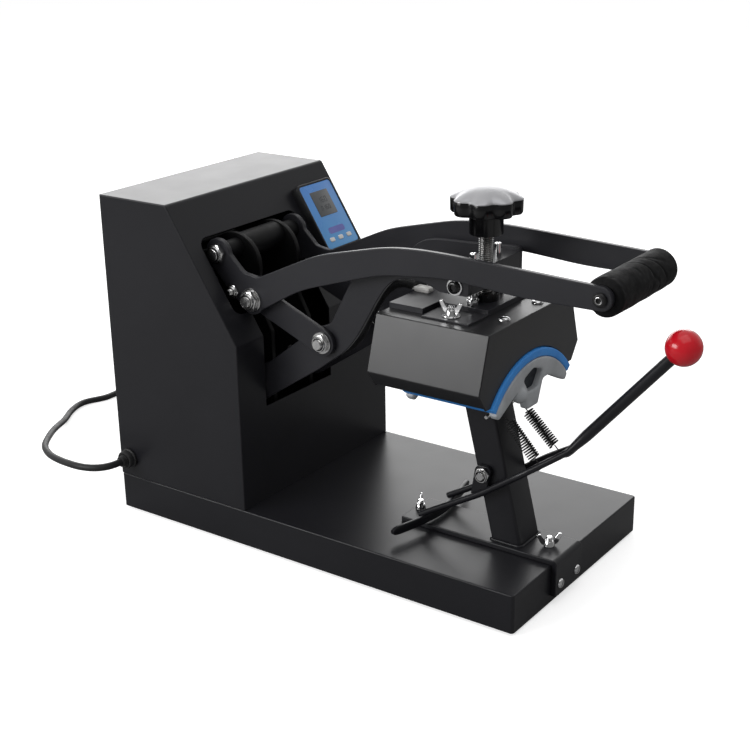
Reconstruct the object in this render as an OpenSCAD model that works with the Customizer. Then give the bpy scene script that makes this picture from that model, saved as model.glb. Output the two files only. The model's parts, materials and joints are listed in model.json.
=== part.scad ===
/* [Base] */
// Width of the base tray, side to side
base_w = 232.6; // [225:0.1:260]
// Length of the base tray, front to back
base_l = 450; // [440:1:480]
// Height of the base tray without its feet
base_h = 35.7; // [32:0.1:42]
// Thickness of the folded sheet steel
sheet_t = 1.5; // [1:0.1:2]
// Height of the rubber feet
foot_h = 3; // [2:0.5:6]
// Radius of the rubber feet
foot_r = 9; // [6:0.5:12]
// Distance of each foot's centre from the edges of the base
foot_inset = 24; // [16:1:40]

/* [Housing] */
// Height of the housing's top above the underside of the base
house_top = 319; // [314:1:330]
// Distance of the housing's front from the front of the base
house_front_y = 289.6; // [288:0.1:293]
// Distance from the housing's front back to its flat top
slope_run = 76.7; // [72:0.1:80]
// Height of the bend where the front starts to slope
bend_z = 198.5; // [190:0.5:205]
// Half width of the wide part of the slot
slot_half_w = 70; // [68:0.5:74]
// Half width of the narrow part of the slot
slot_neck_half_w = 50; // [48:0.5:52]
// Height of the slot's lower end
slot_bottom_z = 129; // [124:1:129]
// Distance up the slope from the bend to the wide part of the slot
slot_wide_from = 26; // [20:1:27]
// Distance up the slope from the bend to the slot's upper end
slot_wide_to = 104; // [103:1:112]
// Width of the lip that the rear cover rests on
lip_w = 9; // [7:1:12]

/* [Linkage] */
// Distance of the mechanism's middle plane from the base's middle plane
mech_x = -28; // [-31:0.5:-25]
// Distance of the main shaft from the front of the base
shaft_y = 334; // [333:0.5:336]
// Height of the main shaft above the underside of the base
shaft_z = 272; // [271:0.5:273]
// Distance of the platen arms' shaft from the front of the base
arm_y = 303; // [302:0.5:304]
// Height of the platen arms' shaft above the underside of the base
arm_z = 147; // [146:0.5:149]
// Distance of the upper link bolt from the front of the base
link_top_y = 296; // [295:0.5:297]
// Height of the upper link bolt
link_top_z = 234; // [233:0.5:235]
// Distance of the lower link bolt from the front of the base
link_foot_y = 223; // [222:0.5:224]
// Height of the lower link bolt
link_foot_z = 204; // [203:0.5:205]
// Thickness of the frame plates and the handle plates
plate_t = 5; // [4:0.25:5.5]
// Thickness of the platen arm plates
arm_t = 4.5; // [4:0.25:5]
// Thickness of the link plates
link_t = 4; // [3:0.25:4.25]
// Radius of the main shaft and the platen arms' shaft
shaft_r = 6; // [5:0.25:6.5]
// Radius of the spacer tubes on the shafts
spacer_r = 9; // [8:0.25:9.5]
// Radius of the link bolts
bolt_r = 5; // [4:0.25:5.5]
// Distance of each frame plate's middle from the middle plane
frame_x = 27.7; // [26:0.1:28.5]
// Distance of each platen arm's middle from the middle plane
arm_x = 41.75; // [41.5:0.05:42]
// Distance of each link's middle from the middle plane
link_x = 47; // [46.85:0.05:47.15]
// Distance of each handle plate's middle from the middle plane
handle_x = 54.5; // [54:0.1:56]

/* [Handle] */
// Distance of the grip's centre in front of the base
grip_ahead = 51.5; // [45:0.5:60]
// Height of the grip's centre
grip_z = 292.5; // [290:0.5:295]
// Radius of the foam sleeve on the grip
foam_r = 16; // [14:0.5:18]
// Radius of the grip tube
grip_tube_r = 9; // [7:0.5:10]

/* [Platen] */
// Distance of the pressure knob from the front of the base
knob_y = 83.5; // [82:0.5:85]
// Radius of the knob out to its lobes
knob_r = 31; // [28:0.5:34]
// Number of lobes round the knob
knob_lobes = 7; // [5:1:9]
// Height of the knob's underside
knob_z = 330.7; // [329:0.1:334]
// Height of the knob's lobed rim
knob_h = 12.8; // [11:0.1:14]
// Height of the domed cap on the knob
cap_h = 8.5; // [6:0.5:10]
// Radius of the threaded rod
rod_r = 6.2; // [5:0.1:7]
// Lead of the threaded rod's thread
rod_pitch = 1.75; // [1.5:0.25:2]
// Height of the cross block's top
block_top_z = 290; // [289:0.5:292]
// Height of the cross block
block_h = 19; // [17:0.5:19]
// Length of the cross block, front to back
block_l = 27; // [24:0.5:28]
// Height of the platen cover's top
cover_top_z = 251; // [250:0.5:251.5]
// Half width of the platen cover's top
cover_top_half = 70.2; // [68:0.2:73]
// Half width of the platen cover where it is widest
cover_wide_half = 85; // [83:0.5:88]
// Height where the platen cover is widest
cover_wide_z = 203; // [198:0.5:210]
// Half width of the platen cover at its lower tips
cover_tip_half = 73.5; // [73:0.1:76]
// Height of the platen cover's lower tips
cover_tip_z = 187; // [186:0.5:189]
// Front of the platen cover
cover_front_y = 37.4; // [34:0.1:40]
// Length of the platen cover, front to back
cover_l = 110.6; // [105:0.2:112]
// Thickness of the curved heating platen
platen_t = 8; // [6:0.5:10]

/* [Cap form] */
// Height of the centre of the pad's arch
arch_z = 131.7; // [131.2:0.1:132]
// Outer radius of the pad's arch
pad_r = 86; // [85.5:0.1:86.2]
// Thickness of the silicone pad
pad_t = 7.5; // [5:0.5:9]
// Half of the angle that the pad's arch spans
pad_half_angle = 51; // [48:0.5:51]
// Front of the pad
pad_front_y = 35; // [32:0.5:38]
// Length of the pad, front to back
pad_l = 90; // [85:1:95]
// Thickness of the casting's arch and ribs
rib_t = 8; // [6:0.5:9]
// Width of the square pedestal, side to side
post_w = 34; // [30:0.5:36]
// Depth of the square pedestal, front to back
post_d = 29; // [26:0.5:31]
// Angle that the pedestal leans back
post_lean = 13.7; // [13:0.1:14.5]

/* [Cap lever] */
// Radius of the lever's ball
ball_r = 15; // [12:0.5:17]
// Distance of the ball's centre in front of the base
ball_ahead = 97.5; // [90:0.5:105]
// Height of the ball's centre
ball_z = 246.1; // [240:0.5:250]
// Radius of the lever's tube
lever_r = 5; // [4:0.25:5.5]
// Radius of the lever's two rods
lever_rod_r = 2.9; // [2.5:0.1:3.2]
// Distance of the lever's pivot from the front of the base
pivot_y = 70.5; // [70:0.25:71]
// Height of the lever's pivot
pivot_z = 103; // [102:0.5:104]
// Half of the width of the curved bow at the lever's rear
bow_half_w = 64; // [56:1:68]
// Radius of the springs' coils
spring_r = 3.6; // [3:0.1:4]

/* [Controller] */
// Width of the controller box
control_w = 54; // [50:0.5:58]
// Length of the controller box along the slope
control_l = 73; // [69:0.5:76]
// Depth of the controller box
control_h = 9.2; // [8:0.2:12]
// Distance of the controller's middle from the right side of the housing
control_inset = 39.5; // [37:0.1:42]
// Distance up the slope from the bend to the controller's middle
control_s = 85.9; // [82:0.1:90]
// Stroke of the controller's buttons
button_stroke = 1; // [0.6:0.1:1.2]

/* [Cord] */
// Radius of the mains cord
cord_r = 3.5; // [3:0.1:4]
// Middle radius of the cord's coil
coil_r = 38.5; // [36:0.5:40]
// Number of turns that lie side by side, and on each other, in the coil
coil_rows = 2; // [1:1:2]

/* [Hidden] */
$fn = 48;
gap = 0.3;
bore_play = 0.06;
face_t = 0.8;

nut_h = 7;
nut_r = 9.8;
washer_t = 1.4;
washer_r = 11;
small_nut_r = 5.8;
small_nut_h = 5;
screw_r = 2;
screw_head_r = 4.2;
screw_head_h = 1.8;

ball_reach = ball_ahead + ball_r;
rear_proud = screw_head_h;
front_y = (ball_reach - base_l - rear_proud) / 2;

house_top_y = house_front_y + slope_run;
slope_rise = house_top - bend_z;
slope_angle = atan2(slope_rise, slope_run);
control_x = base_w / 2 - control_inset;
slot_corner_r = 10;

grip_y = -grip_ahead;
handle_top = 103;
frame_in = frame_x - plate_t / 2;
frame_out = frame_x + plate_t / 2;
arm_in = arm_x - arm_t / 2;
arm_out = arm_x + arm_t / 2;
link_in = link_x - link_t / 2;
link_out = link_x + link_t / 2;
handle_in = handle_x - plate_t / 2;
handle_out = handle_x + plate_t / 2;
lobe_r = 14;
link_lobe_r = 12.5;
stop_y = link_top_y + 21;
stop_z = link_top_z + 5;
stop_r = 3;
arm_lobe_r = 16;
round_head_y = shaft_y + 3;
round_head_z = shaft_z - 16;
round_head_r = 29.5;

knob_turns = 4;
head_travel = knob_turns * rod_pitch;
hub_r = 14.5;
hub_h = 17.7;
boss_r = 12;
boss_h = 7;
guide_x = 20;
guide_r = 2.8;
guide_top_z = block_top_z + 11;
bracket_z = cover_top_z + 5;
bracket_wide_half = 52;
bracket_half = 28;
bracket_rear_y = 147;
bracket_step_y = 113;
bracket_front_y = 64;
wing_x = 47;
wing_y = 88;
platen_in = pad_r + 0.9;

pad_in = pad_r - pad_t;
casting_r = pad_in - 0.1;
casting_in = casting_r - rib_t;
casting_foot_z = 168;
post_foot_y = 49;
bracket_t = 5;
post_foot_z = base_h + bracket_t;
post_top = (casting_foot_z + 6 - post_foot_z) / cos(post_lean);
plate_w = 47;
plate_l = 156;

pin_x = 24;
rod_spread = 24;
joint_y = -2.7;
joint_z = 136.4;
ear_y = pivot_y + 6;
ear_z = pivot_z - 16;
bow_y = plate_l - 19;
bow_z = 45;
bow_t = 3;
spring_top_y = 49;
spring_top_z = 153;
spring_foot_y = 24;
spring_foot_z = 116.2;

gland_y = 437;
gland_z = 54.8;
gland_r = 9;
coil_x = 60;
coil_y = 535;
floor_z = cord_r - foot_h;
cord_sides = 10;
cable_r = 4.2;

cord_points = [
    [-130, 437, 55], [-140, 438, 54.7], [-150, 442, 54], [-157, 451, 53], [-160, 464, 52],
    [-157, 482, 49.5], [-148, 508, 46], [-132, 538, 40], [-104, 577, 29], [-68, 614, 17],
    [-30, 646, 7.5], [4, 667, 2], [32, 685, 0.5], [58, 692, 0.5], [84, 682, 0.5], [108, 680, 0.5],
    [126, 664, 0.5], [132, 638, 0.5], [130, 614, 0.5], [118, 596, 0.5], [98, 587, 0.5],
    [78, 584.5, 0.5], [60, 584.05, 0.5]
];
plug_points = [
    [17.5, 510.5, 0.5], [23.5, 497, 1], [32.5, 485.5, 3], [44, 478, 5.6], [52, 475, 7], [60, 475, 7]
];
cable_points = [
    [-10, 147.8, 259], [-9, 160, 257], [-7, 172, 251], [-5, 185, 240], [-3, 201, 220],
    [-1, 217, 196], [0, 237, 180], [0, 262, 172], [0, 285, 170], [0, 300, 169]
];

// Geometry helpers

function unit(v) = v / norm(v);
function flat(p) = [p[0], p[1]];

// The arc that rounds the corner p between its two neighbours
function corner(before, p, after, r) =
    r <= 0 ? [p] :
    let (
        u = unit(before - p),
        v = unit(after - p),
        half = acos(u * v) / 2,
        centre = p + unit(u + v) * r / sin(half),
        from = p + u * r / tan(half) - centre,
        to = p + v * r / tan(half) - centre,
        start = atan2(from[1], from[0]),
        turn = (atan2(to[1], to[0]) - start + 540) % 360 - 180
    )
    [for (i = [0:5]) centre + r * [cos(start + turn * i / 5), sin(start + turn * i / 5)]];

// An outline of [x, y, corner radius] points with its corners rounded
function rounded(points) =
    let (n = len(points))
    [for (i = [0:n - 1])
        each corner(flat(points[(i + n - 1) % n]), flat(points[i]), flat(points[(i + 1) % n]), points[i][2])];

function box_outline(w, h, r) =
    rounded([[-w / 2, -h / 2, r], [w / 2, -h / 2, r], [w / 2, h / 2, r], [-w / 2, h / 2, r]]);

// A point on the smooth curve through four points in a row
function between(a, b, c, d, t) =
    (2 * b + (c - a) * t + (2 * a - 5 * b + 4 * c - d) * t * t + (3 * b - a - 3 * c + d) * t * t * t) / 2;

function smooth(points, steps) =
    let (n = len(points))
    concat(
        [for (i = [0:n - 2], j = [0:steps - 1])
            between(points[max(i - 1, 0)], points[i], points[i + 1], points[min(i + 2, n - 1)], j / steps)],
        [points[n - 1]]
    );

module tube(points, r, sides, low) {
    path = [for (p = points) [p[0], p[1], max(p[2], low)]];
    last = len(path) - 1;
    rings = [for (i = [0:last])
        let (
            along = unit(path[min(i + 1, last)] - path[max(i - 1, 0)]),
            side = unit(cross(along, [0, 0, 1])),
            up = cross(side, along)
        )
        each [for (k = [0:sides - 1])
            path[i] + r * (cos(360 * k / sides) * side + sin(360 * k / sides) * up)]];
    walls = [for (i = [0:last - 1], k = [0:sides - 1])
        let (next = (k + 1) % sides)
        [i * sides + k, (i + 1) * sides + k, (i + 1) * sides + next, i * sides + next]];
    caps = [[for (k = [0:sides - 1]) k], [for (k = [sides - 1:-1:0]) last * sides + k]];
    polyhedron(rings, concat(walls, caps));
}

module at_base() {
    translate([0, front_y, foot_h]) children();
}

module at_mech() {
    translate([mech_x, front_y, foot_h]) children();
}

module both_sides() {
    children();
    mirror([1, 0, 0]) children();
}

// An outline in front-to-back and height, extruded across the machine
module side_plate(from, thickness) {
    translate([from, 0, 0]) rotate([90, 0, 90]) linear_extrude(thickness) children();
}

// An outline in width and height, extruded backwards
module face_plate(from, thickness) {
    translate([0, from + thickness, 0]) rotate([90, 0, 0]) linear_extrude(thickness) children();
}

module cross_bar(y, z, from, to, r) {
    translate([from, y, z]) rotate([0, 90, 0]) cylinder(h = to - from, r = r);
}

module cross_nut(y, z, from, h, r, bore) {
    difference() {
        translate([from, y, z]) rotate([0, 90, 0]) cylinder(h = h, r = r, $fn = 6);
        cross_bar(y, z, from - 1, from + h + 1, bore);
    }
}

module cross_ring(y, z, from, to, r, bore) {
    difference() {
        cross_bar(y, z, from, to, r);
        cross_bar(y, z, from - 1, to + 1, bore);
    }
}

module rod_between(a, b, r) {
    d = b - a;
    translate(a)
        rotate([0, acos(d[2] / norm(d)), atan2(d[1], d[0])])
            cylinder(h = norm(d), r = r);
}

module on_slope(x, s) {
    translate([x, house_front_y + s * cos(slope_angle), bend_z + s * sin(slope_angle)])
        rotate([slope_angle, 0, 0])
            children();
}

module bolt_pattern() {
    for (p = cover_holes) translate([p[0], 0, p[1]]) children();
}

// Base

module base_tray() {
    color("#343436") at_base() difference() {
        translate([0, base_l / 2, 0])
            linear_extrude(base_h) polygon(box_outline(base_w, base_l, 3));
        translate([0, base_l / 2, -1])
            linear_extrude(base_h - sheet_t + 1)
                polygon(box_outline(base_w - 2 * sheet_t, base_l - 2 * sheet_t, 1.6));
    }
}

module base_bottom() {
    color("#2c2c2e") at_base()
        translate([0, base_l / 2, 0])
            linear_extrude(sheet_t)
                polygon(box_outline(base_w - 2 * (sheet_t + gap), base_l - 2 * (sheet_t + gap), 1.5));
}

module feet() {
    color("#1c1c1c") translate([0, front_y, 0])
        for (x = [-base_w / 2 + foot_inset, base_w / 2 - foot_inset], y = [foot_inset, base_l - foot_inset])
            translate([x, y, 0]) cylinder(h = foot_h, r = foot_r);
}

// Housing

module house_outline(inset, foot_z, rear_y) {
    lean = 90 - slope_angle;
    bend_r = 4 - inset;
    polygon(rounded([
        [house_front_y + inset, foot_z, 0],
        [house_front_y + inset, bend_z - inset * tan(lean / 2), bend_r],
        [house_top_y + inset * tan(slope_angle / 2), house_top - inset, bend_r],
        [rear_y, house_top - inset, 0],
        [rear_y, foot_z, 0]
    ]));
}

module slot_cut() {
    depth = 18;
    on_slope(mech_x, (slot_wide_from + slot_wide_to) / 2)
        translate([0, 0, -depth])
            linear_extrude(2 * depth)
                polygon(box_outline(2 * slot_half_w, slot_wide_to - slot_wide_from, slot_corner_r));
    deep = [sin(slope_angle), -cos(slope_angle)] * 14;
    neck_top = [house_front_y, bend_z] + (slot_wide_from + 6) * [cos(slope_angle), sin(slope_angle)];
    side_plate(mech_x - slot_neck_half_w, 2 * slot_neck_half_w)
        polygon([
            [house_front_y - 6, slot_bottom_z], [house_front_y + 14, slot_bottom_z],
            [house_front_y + 14, bend_z - 10], neck_top + deep, neck_top - deep, [house_front_y - 6, bend_z]
        ]);
}

module housing_shell() {
    inner_w = base_w - 2 * sheet_t;
    color("#343436") at_base() difference() {
        side_plate(-base_w / 2, base_w) house_outline(0, base_h, base_l);
        side_plate(-inner_w / 2, inner_w) house_outline(sheet_t, base_h - 1, base_l - 2 * sheet_t);
        translate([-inner_w / 2, base_l - sheet_t, base_h - 1])
            cube([inner_w, sheet_t + 1, house_top - base_h - sheet_t + 1]);
        translate([-inner_w / 2 + lip_w, base_l - 10, base_h + lip_w])
            cube([inner_w - 2 * lip_w, 20, house_top - base_h - sheet_t - 2 * lip_w]);
        slot_cut();
        cross_bar(gland_y, gland_z, -base_w / 2 - 1, -base_w / 2 + 3, gland_r * 0.66 + bore_play);
        translate([0, base_l, 0]) bolt_pattern() rotate([90, 0, 0]) cylinder(h = 8, r = screw_r + bore_play);
    }
}

cover_holes = [for (
    x = [-base_w / 2 + sheet_t + lip_w / 2, base_w / 2 - sheet_t - lip_w / 2],
    z = [base_h + lip_w / 2, (base_h + house_top) / 2, house_top - sheet_t - lip_w / 2]
) [x, z]];
vent_w = 3;
vent_l = 62;
switch_x = 62;
switch_z = 72;
switch_w = 15;
switch_h = 21;

module rear_cover() {
    w = base_w - 2 * (sheet_t + gap);
    color("#2e2e30") at_base() difference() {
        translate([-w / 2, base_l - sheet_t, base_h])
            cube([w, sheet_t, house_top - base_h - sheet_t - gap]);
        for (side = [-1, 1], row = [0:9])
            translate([side * 45 - vent_l / 2, base_l - 5, 165 + row * 11]) cube([vent_l, 10, vent_w]);
        translate([switch_x - switch_w / 2 - bore_play, base_l - 5, switch_z - switch_h / 2 - bore_play])
            cube([switch_w + 2 * bore_play, 10, switch_h + 2 * bore_play]);
        translate([0, base_l + 1, 0]) bolt_pattern() rotate([90, 0, 0]) cylinder(h = 8, r = screw_r + bore_play);
    }
}

module rear_cover_screws() {
    color("#b9b9b9") at_base() translate([0, base_l, 0]) bolt_pattern() {
        rotate([90, 0, 0]) cylinder(h = 6, r = screw_r);
        rotate([-90, 0, 0]) difference() {
            cylinder(h = screw_head_h, r1 = screw_head_r, r2 = screw_head_r - 1);
            for (a = [0, 90]) rotate(a) translate([-2, -0.5, 1]) cube([4, 1, 2]);
        }
    }
}

module power_switch() {
    rim = 2;
    color("#18181a") at_base() translate([switch_x, base_l, switch_z]) difference() {
        union() {
            translate([-switch_w / 2, -18, -switch_h / 2]) cube([switch_w, 18, switch_h]);
            translate([-switch_w / 2 - rim, 0, -switch_h / 2 - rim])
                cube([switch_w + 2 * rim, 1.4, switch_h + 2 * rim]);
        }
        translate([-switch_w / 2 + 1.5, -14, -switch_h / 2 + 1.5]) cube([switch_w - 3, 20, switch_h - 3]);
    }
}

module power_rocker() {
    w = switch_w - 3 - 2 * gap;
    color("#8f1414") at_base() translate([switch_x, base_l - 8, switch_z]) intersection() {
        cross_bar(0, 0, -w / 2, w / 2, 9);
        rotate([8, 0, 0]) translate([-w / 2, 0, -7]) cube([w, 20, 14]);
        translate([-w / 2, 0, -9]) cube([w, 8 + screw_head_h, 18]);
    }
}

// Frame and shafts

module frame_outline() {
    frame_front_y = house_front_y + sheet_t + 5.4;
    polygon(rounded([
        [frame_front_y, base_h, 0],
        [frame_front_y, bend_z - 3, 4],
        [round_head_y - 18, round_head_z - 18, 4],
        [round_head_y + 20, round_head_z - 8, 6],
        [frame_front_y + 78, 130, 20],
        [frame_front_y + 92, base_h, 0]
    ]));
    translate([round_head_y, round_head_z]) circle(round_head_r);
    translate([arm_y, arm_z]) circle(shaft_r + 5.8);
}

module frame_plate(side) {
    from = side > 0 ? frame_in : -frame_out;
    color("#2a2a2c") at_mech() difference() {
        union() {
            side_plate(from, plate_t) frame_outline();
            translate([side > 0 ? frame_in - 18 : -frame_out, house_front_y + 12, base_h])
                cube([plate_t + 18, 70, 3]);
        }
        cross_bar(shaft_y, shaft_z, -60, 60, shaft_r + bore_play);
        cross_bar(arm_y, arm_z, -60, 60, shaft_r + bore_play);
    }
}

module main_shaft() {
    end = handle_out + gap + nut_h + 1.2;
    color("#9a9a9c") at_mech() cross_bar(shaft_y, shaft_z, -end, end, shaft_r);
}

module arm_shaft() {
    end = arm_out + gap + small_nut_h + 1;
    color("#9a9a9c") at_mech() cross_bar(arm_y, arm_z, -end, end, shaft_r);
}

module shaft_spacers() {
    bore = shaft_r + bore_play;
    color("#3a3a3c") at_mech() {
        cross_ring(shaft_y, shaft_z, -frame_in, frame_in, 12.5, bore);
        cross_ring(arm_y, arm_z, -frame_in, frame_in, spacer_r, bore);
        both_sides() {
            cross_ring(shaft_y, shaft_z, frame_out, handle_in - gap, spacer_r, bore);
            cross_ring(arm_y, arm_z, frame_out, arm_in - gap, spacer_r, bore);
        }
    }
}

module shaft_nuts() {
    color("#5a5a5e") at_mech() both_sides() {
        cross_nut(shaft_y, shaft_z, handle_out + gap, nut_h, nut_r, shaft_r + bore_play);
        cross_nut(arm_y, arm_z, arm_out + gap, small_nut_h, nut_r, shaft_r + bore_play);
    }
}

// Handle

module handle_outline() {
    polygon(rounded([
        [shaft_y + 5, shaft_z + 13, 0],
        [shaft_y - 12, shaft_z + 3, 5],
        [shaft_y - 29, shaft_z - 13.5, 8],
        [shaft_y - 46, shaft_z - 16, 14],
        [shaft_y - 113, shaft_z + 15, 20],
        [shaft_y - 188, shaft_z + 33, 30],
        [handle_top + 12, shaft_z + 35.5, 0],
        [knob_y, shaft_z + 35.5, 0],
        [18, grip_z + 12.9, 0],
        [grip_y, grip_z + 10.4, 0],
        [grip_y, grip_z - 9.4, 0],
        [18, grip_z - 10.1, 30],
        [knob_y + 4, grip_z - 5.5, 30],
        [shaft_y - 181, shaft_z + 8, 40],
        [shaft_y - 94, shaft_z - 20, 20],
        [link_top_y - 15, link_top_z - 6, 4],
        [link_top_y, link_top_z - 12, 0],
        [stop_y, stop_z - 6, 0],
        [shaft_y + 8, shaft_z - 12, 4],
        [shaft_y + 12, shaft_z, 0]
    ]));
    translate([shaft_y, shaft_z]) circle(lobe_r);
    translate([link_top_y, link_top_z]) circle(lobe_r);
    translate([stop_y, stop_z]) circle(8);
    translate([grip_y, grip_z + 0.5]) circle(9.9);
}

module handle_plate(side) {
    color("#39393b") at_mech() difference() {
        side_plate(side > 0 ? handle_in : -handle_out, plate_t) handle_outline();
        cross_bar(shaft_y, shaft_z, -80, 80, shaft_r + bore_play);
        cross_bar(link_top_y, link_top_z, -80, 80, bolt_r + bore_play);
        cross_bar(stop_y, stop_z, -80, 80, stop_r + bore_play);
        cross_bar(grip_y, grip_z, -80, 80, stop_r + bore_play);
    }
}

module grip_tube() {
    color("#6d6d70") at_mech()
        cross_ring(grip_y, grip_z, -handle_in, handle_in, grip_tube_r, stop_r + bore_play);
}

module grip_foam() {
    end = handle_in - 1;
    color("#1b1b1c") at_mech()
        cross_ring(grip_y, grip_z, -end, end, foam_r, grip_tube_r + bore_play);
}

module handle_fasteners() {
    color("#8c8c90") at_mech() both_sides() {
        cross_bar(grip_y, grip_z, handle_in - 14, handle_out, stop_r);
        difference() {
            cross_bar(grip_y, grip_z, handle_out, handle_out + 3.4, 6);
            translate([handle_out + 1.4, grip_y, grip_z]) rotate([0, 90, 0]) cylinder(h = 3, r = 2.2, $fn = 6);
        }
        cross_bar(stop_y, stop_z, handle_in, handle_out + washer_t + small_nut_h + 2, stop_r);
        cross_bar(stop_y, stop_z, link_out + gap, handle_in, 5.5);
        cross_nut(stop_y, stop_z, handle_out, small_nut_h, small_nut_r, stop_r);
    }
}

module link_bolts_upper() {
    nut_from = handle_out + washer_t;
    color("#4a4a4e") at_mech() both_sides() {
        cross_bar(link_top_y, link_top_z, link_in, nut_from + nut_h + 2, bolt_r);
        cross_bar(link_top_y, link_top_z, link_out + gap, handle_in, bolt_r + 3);
        cross_bar(link_top_y, link_top_z, handle_out, nut_from, washer_r);
        cross_nut(link_top_y, link_top_z, nut_from, nut_h, nut_r, bolt_r);
    }
}

// Links

module link_outline() {
    run = link_foot_y - link_top_y;
    drop = link_foot_z - link_top_z;
    reach = norm([run, drop]);
    translate([link_top_y, link_top_z]) circle(link_lobe_r);
    translate([link_foot_y, link_foot_z]) circle(link_lobe_r);
    translate([link_top_y, link_top_z])
        rotate(atan2(drop, run))
            translate([0, -link_lobe_r])
                square([reach, 2 * link_lobe_r]);
}

module link_plate(side) {
    color("#39393b") at_mech() difference() {
        side_plate(side > 0 ? link_in : -link_out, link_t) link_outline();
        cross_bar(link_top_y, link_top_z, -80, 80, bolt_r + bore_play);
        cross_bar(link_foot_y, link_foot_z, -80, 80, bolt_r + bore_play);
    }
}

module link_bolts_lower() {
    nut_from = link_out + washer_t;
    color("#4a4a4e") at_mech() both_sides() {
        cross_bar(link_foot_y, link_foot_z, arm_out + gap, nut_from + small_nut_h + 2, bolt_r);
        cross_bar(link_foot_y, link_foot_z, link_out, nut_from, washer_r - 1);
        cross_nut(link_foot_y, link_foot_z, nut_from, small_nut_h, nut_r - 1, bolt_r);
    }
}

// Platen arms

block_front_y = knob_y + 3 - block_l / 2;
block_bolt_y = knob_y + 3;
block_bolt_z = block_top_z - 13;

module arm_outline() {
    polygon(rounded([
        [block_front_y, block_top_z - block_h - 1, 3],
        [knob_y + 19, block_top_z - block_h - 1, 8],
        [knob_y + 34, 277, 10],
        [148, 276.5, 10],
        [161, 260, 20],
        [190, 210, 20],
        [link_foot_y - 20, link_foot_z - 7, 10],
        [link_foot_y + 10, link_foot_z - 29.5, 0],
        [arm_y - 33, arm_z + 3, 0],
        [arm_y - 10, arm_z - 12, 0],
        [arm_y + 6, arm_z + 14, 0],
        [arm_y - 16, arm_z + 26, 10],
        [link_foot_y + 33, link_foot_z - 7, 20],
        [link_foot_y + 12, link_foot_z + 10, 10],
        [link_foot_y - 7, link_foot_z + 18, 10],
        [190, 271, 20],
        [180, 285, 10],
        [165, 289, 10],
        [121, 290.5, 0],
        [knob_y, block_top_z + 3.5, 0],
        [block_front_y, block_top_z + 3.5, 3]
    ]));
    translate([arm_y, arm_z]) circle(arm_lobe_r);
    translate([link_foot_y, link_foot_z]) circle(link_lobe_r);
}

module platen_arm(side) {
    color("#2f2f31") at_mech() difference() {
        side_plate(side > 0 ? arm_in : -arm_out, arm_t) arm_outline();
        cross_bar(arm_y, arm_z, -80, 80, shaft_r + bore_play);
        cross_bar(link_foot_y, link_foot_z, -80, 80, bolt_r + bore_play);
        cross_bar(block_bolt_y, block_bolt_z, -80, 80, stop_r + bore_play);
    }
}

module cross_block() {
    color("#4b4b4d") at_mech() difference() {
        translate([-arm_in, block_front_y, block_top_z - block_h]) cube([2 * arm_in, block_l, block_h]);
        translate([0, knob_y, 0]) cylinder(h = house_top, r = rod_r + bore_play);
        for (x = [-guide_x, guide_x])
            translate([x, knob_y, 0]) cylinder(h = house_top, r = guide_r + bore_play);
        both_sides()
            cross_bar(block_bolt_y, block_bolt_z, arm_in - 12, arm_in + 1, stop_r + bore_play);
    }
}

module arm_fasteners() {
    color("#85858a") at_mech() both_sides() {
        cross_bar(block_bolt_y, block_bolt_z, arm_in - 11, arm_out, stop_r);
        cross_bar(block_bolt_y, block_bolt_z, arm_out, arm_out + 0.8, 7);
        cross_bar(block_bolt_y, block_bolt_z, arm_out + 0.8, arm_out + 4, 5.2);
        cross_bar(link_foot_y, link_foot_z, arm_in - small_nut_h - 1, arm_out, bolt_r);
        cross_nut(link_foot_y, link_foot_z, arm_in - small_nut_h, small_nut_h, nut_r - 1, bolt_r);
    }
}

// Pressure screw

rod_low_z = bracket_z + gap;
rod_high_z = knob_z + 6;

module threaded_rod() {
    thread_d = 0.6;
    turns = floor((rod_high_z - rod_low_z - 8) / rod_pitch);
    core = rod_r - thread_d;
    color("#6f6f72") at_mech() translate([0, knob_y, rod_low_z])
        rotate_extrude()
            polygon(concat(
                [[0, 0], [core, 0], [core, 4]],
                [for (i = [0:turns - 1], p = [[rod_r, 0.5], [core, 1]]) [p[0], 4 + (i + p[1]) * rod_pitch]],
                [[core, rod_high_z - rod_low_z], [0, rod_high_z - rod_low_z]]
            ));
}

module knob_body() {
    scallop = 3.2;
    color("#1d1d1f") at_mech() translate([0, knob_y, knob_z]) difference() {
        union() {
            linear_extrude(knob_h)
                polygon([for (a = [0:3:357])
                    (knob_r - scallop * (1 - cos(knob_lobes * a)) / 2) * [cos(a), sin(a)]]);
            translate([0, 0, -hub_h]) cylinder(h = hub_h, r = hub_r);
        }
        translate([0, 0, -hub_h - 1]) cylinder(h = hub_h + 1 + rod_high_z - knob_z + gap, r = rod_r + bore_play);
    }
}

module knob_cap() {
    rim_r = knob_r * 0.72;
    dome_r = (rim_r * rim_r + cap_h * cap_h) / (2 * cap_h);
    sweep = asin(rim_r / dome_r);
    color("#c9c9cc") at_mech() translate([0, knob_y, knob_z + knob_h])
        rotate_extrude()
            polygon(concat(
                [[0, 0]],
                [for (i = [0:8]) [
                    dome_r * sin(sweep * (8 - i) / 8), dome_r * cos(sweep * (8 - i) / 8) - dome_r + cap_h
                ]]
            ));
}

// Heated platen

cover_t = 2;

module cover_outline(inset, foot_z) {
    polygon([
        [-cover_top_half + inset, cover_top_z - inset],
        [-cover_wide_half + inset, cover_wide_z],
        [-cover_tip_half + inset, foot_z],
        [cover_tip_half - inset, foot_z],
        [cover_wide_half - inset, cover_wide_z],
        [cover_top_half - inset, cover_top_z - inset]
    ]);
}

module arch_cut(r) {
    translate([0, 200, arch_z]) rotate([90, 0, 0]) cylinder(h = 400, r = r, $fn = 96);
}

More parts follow.
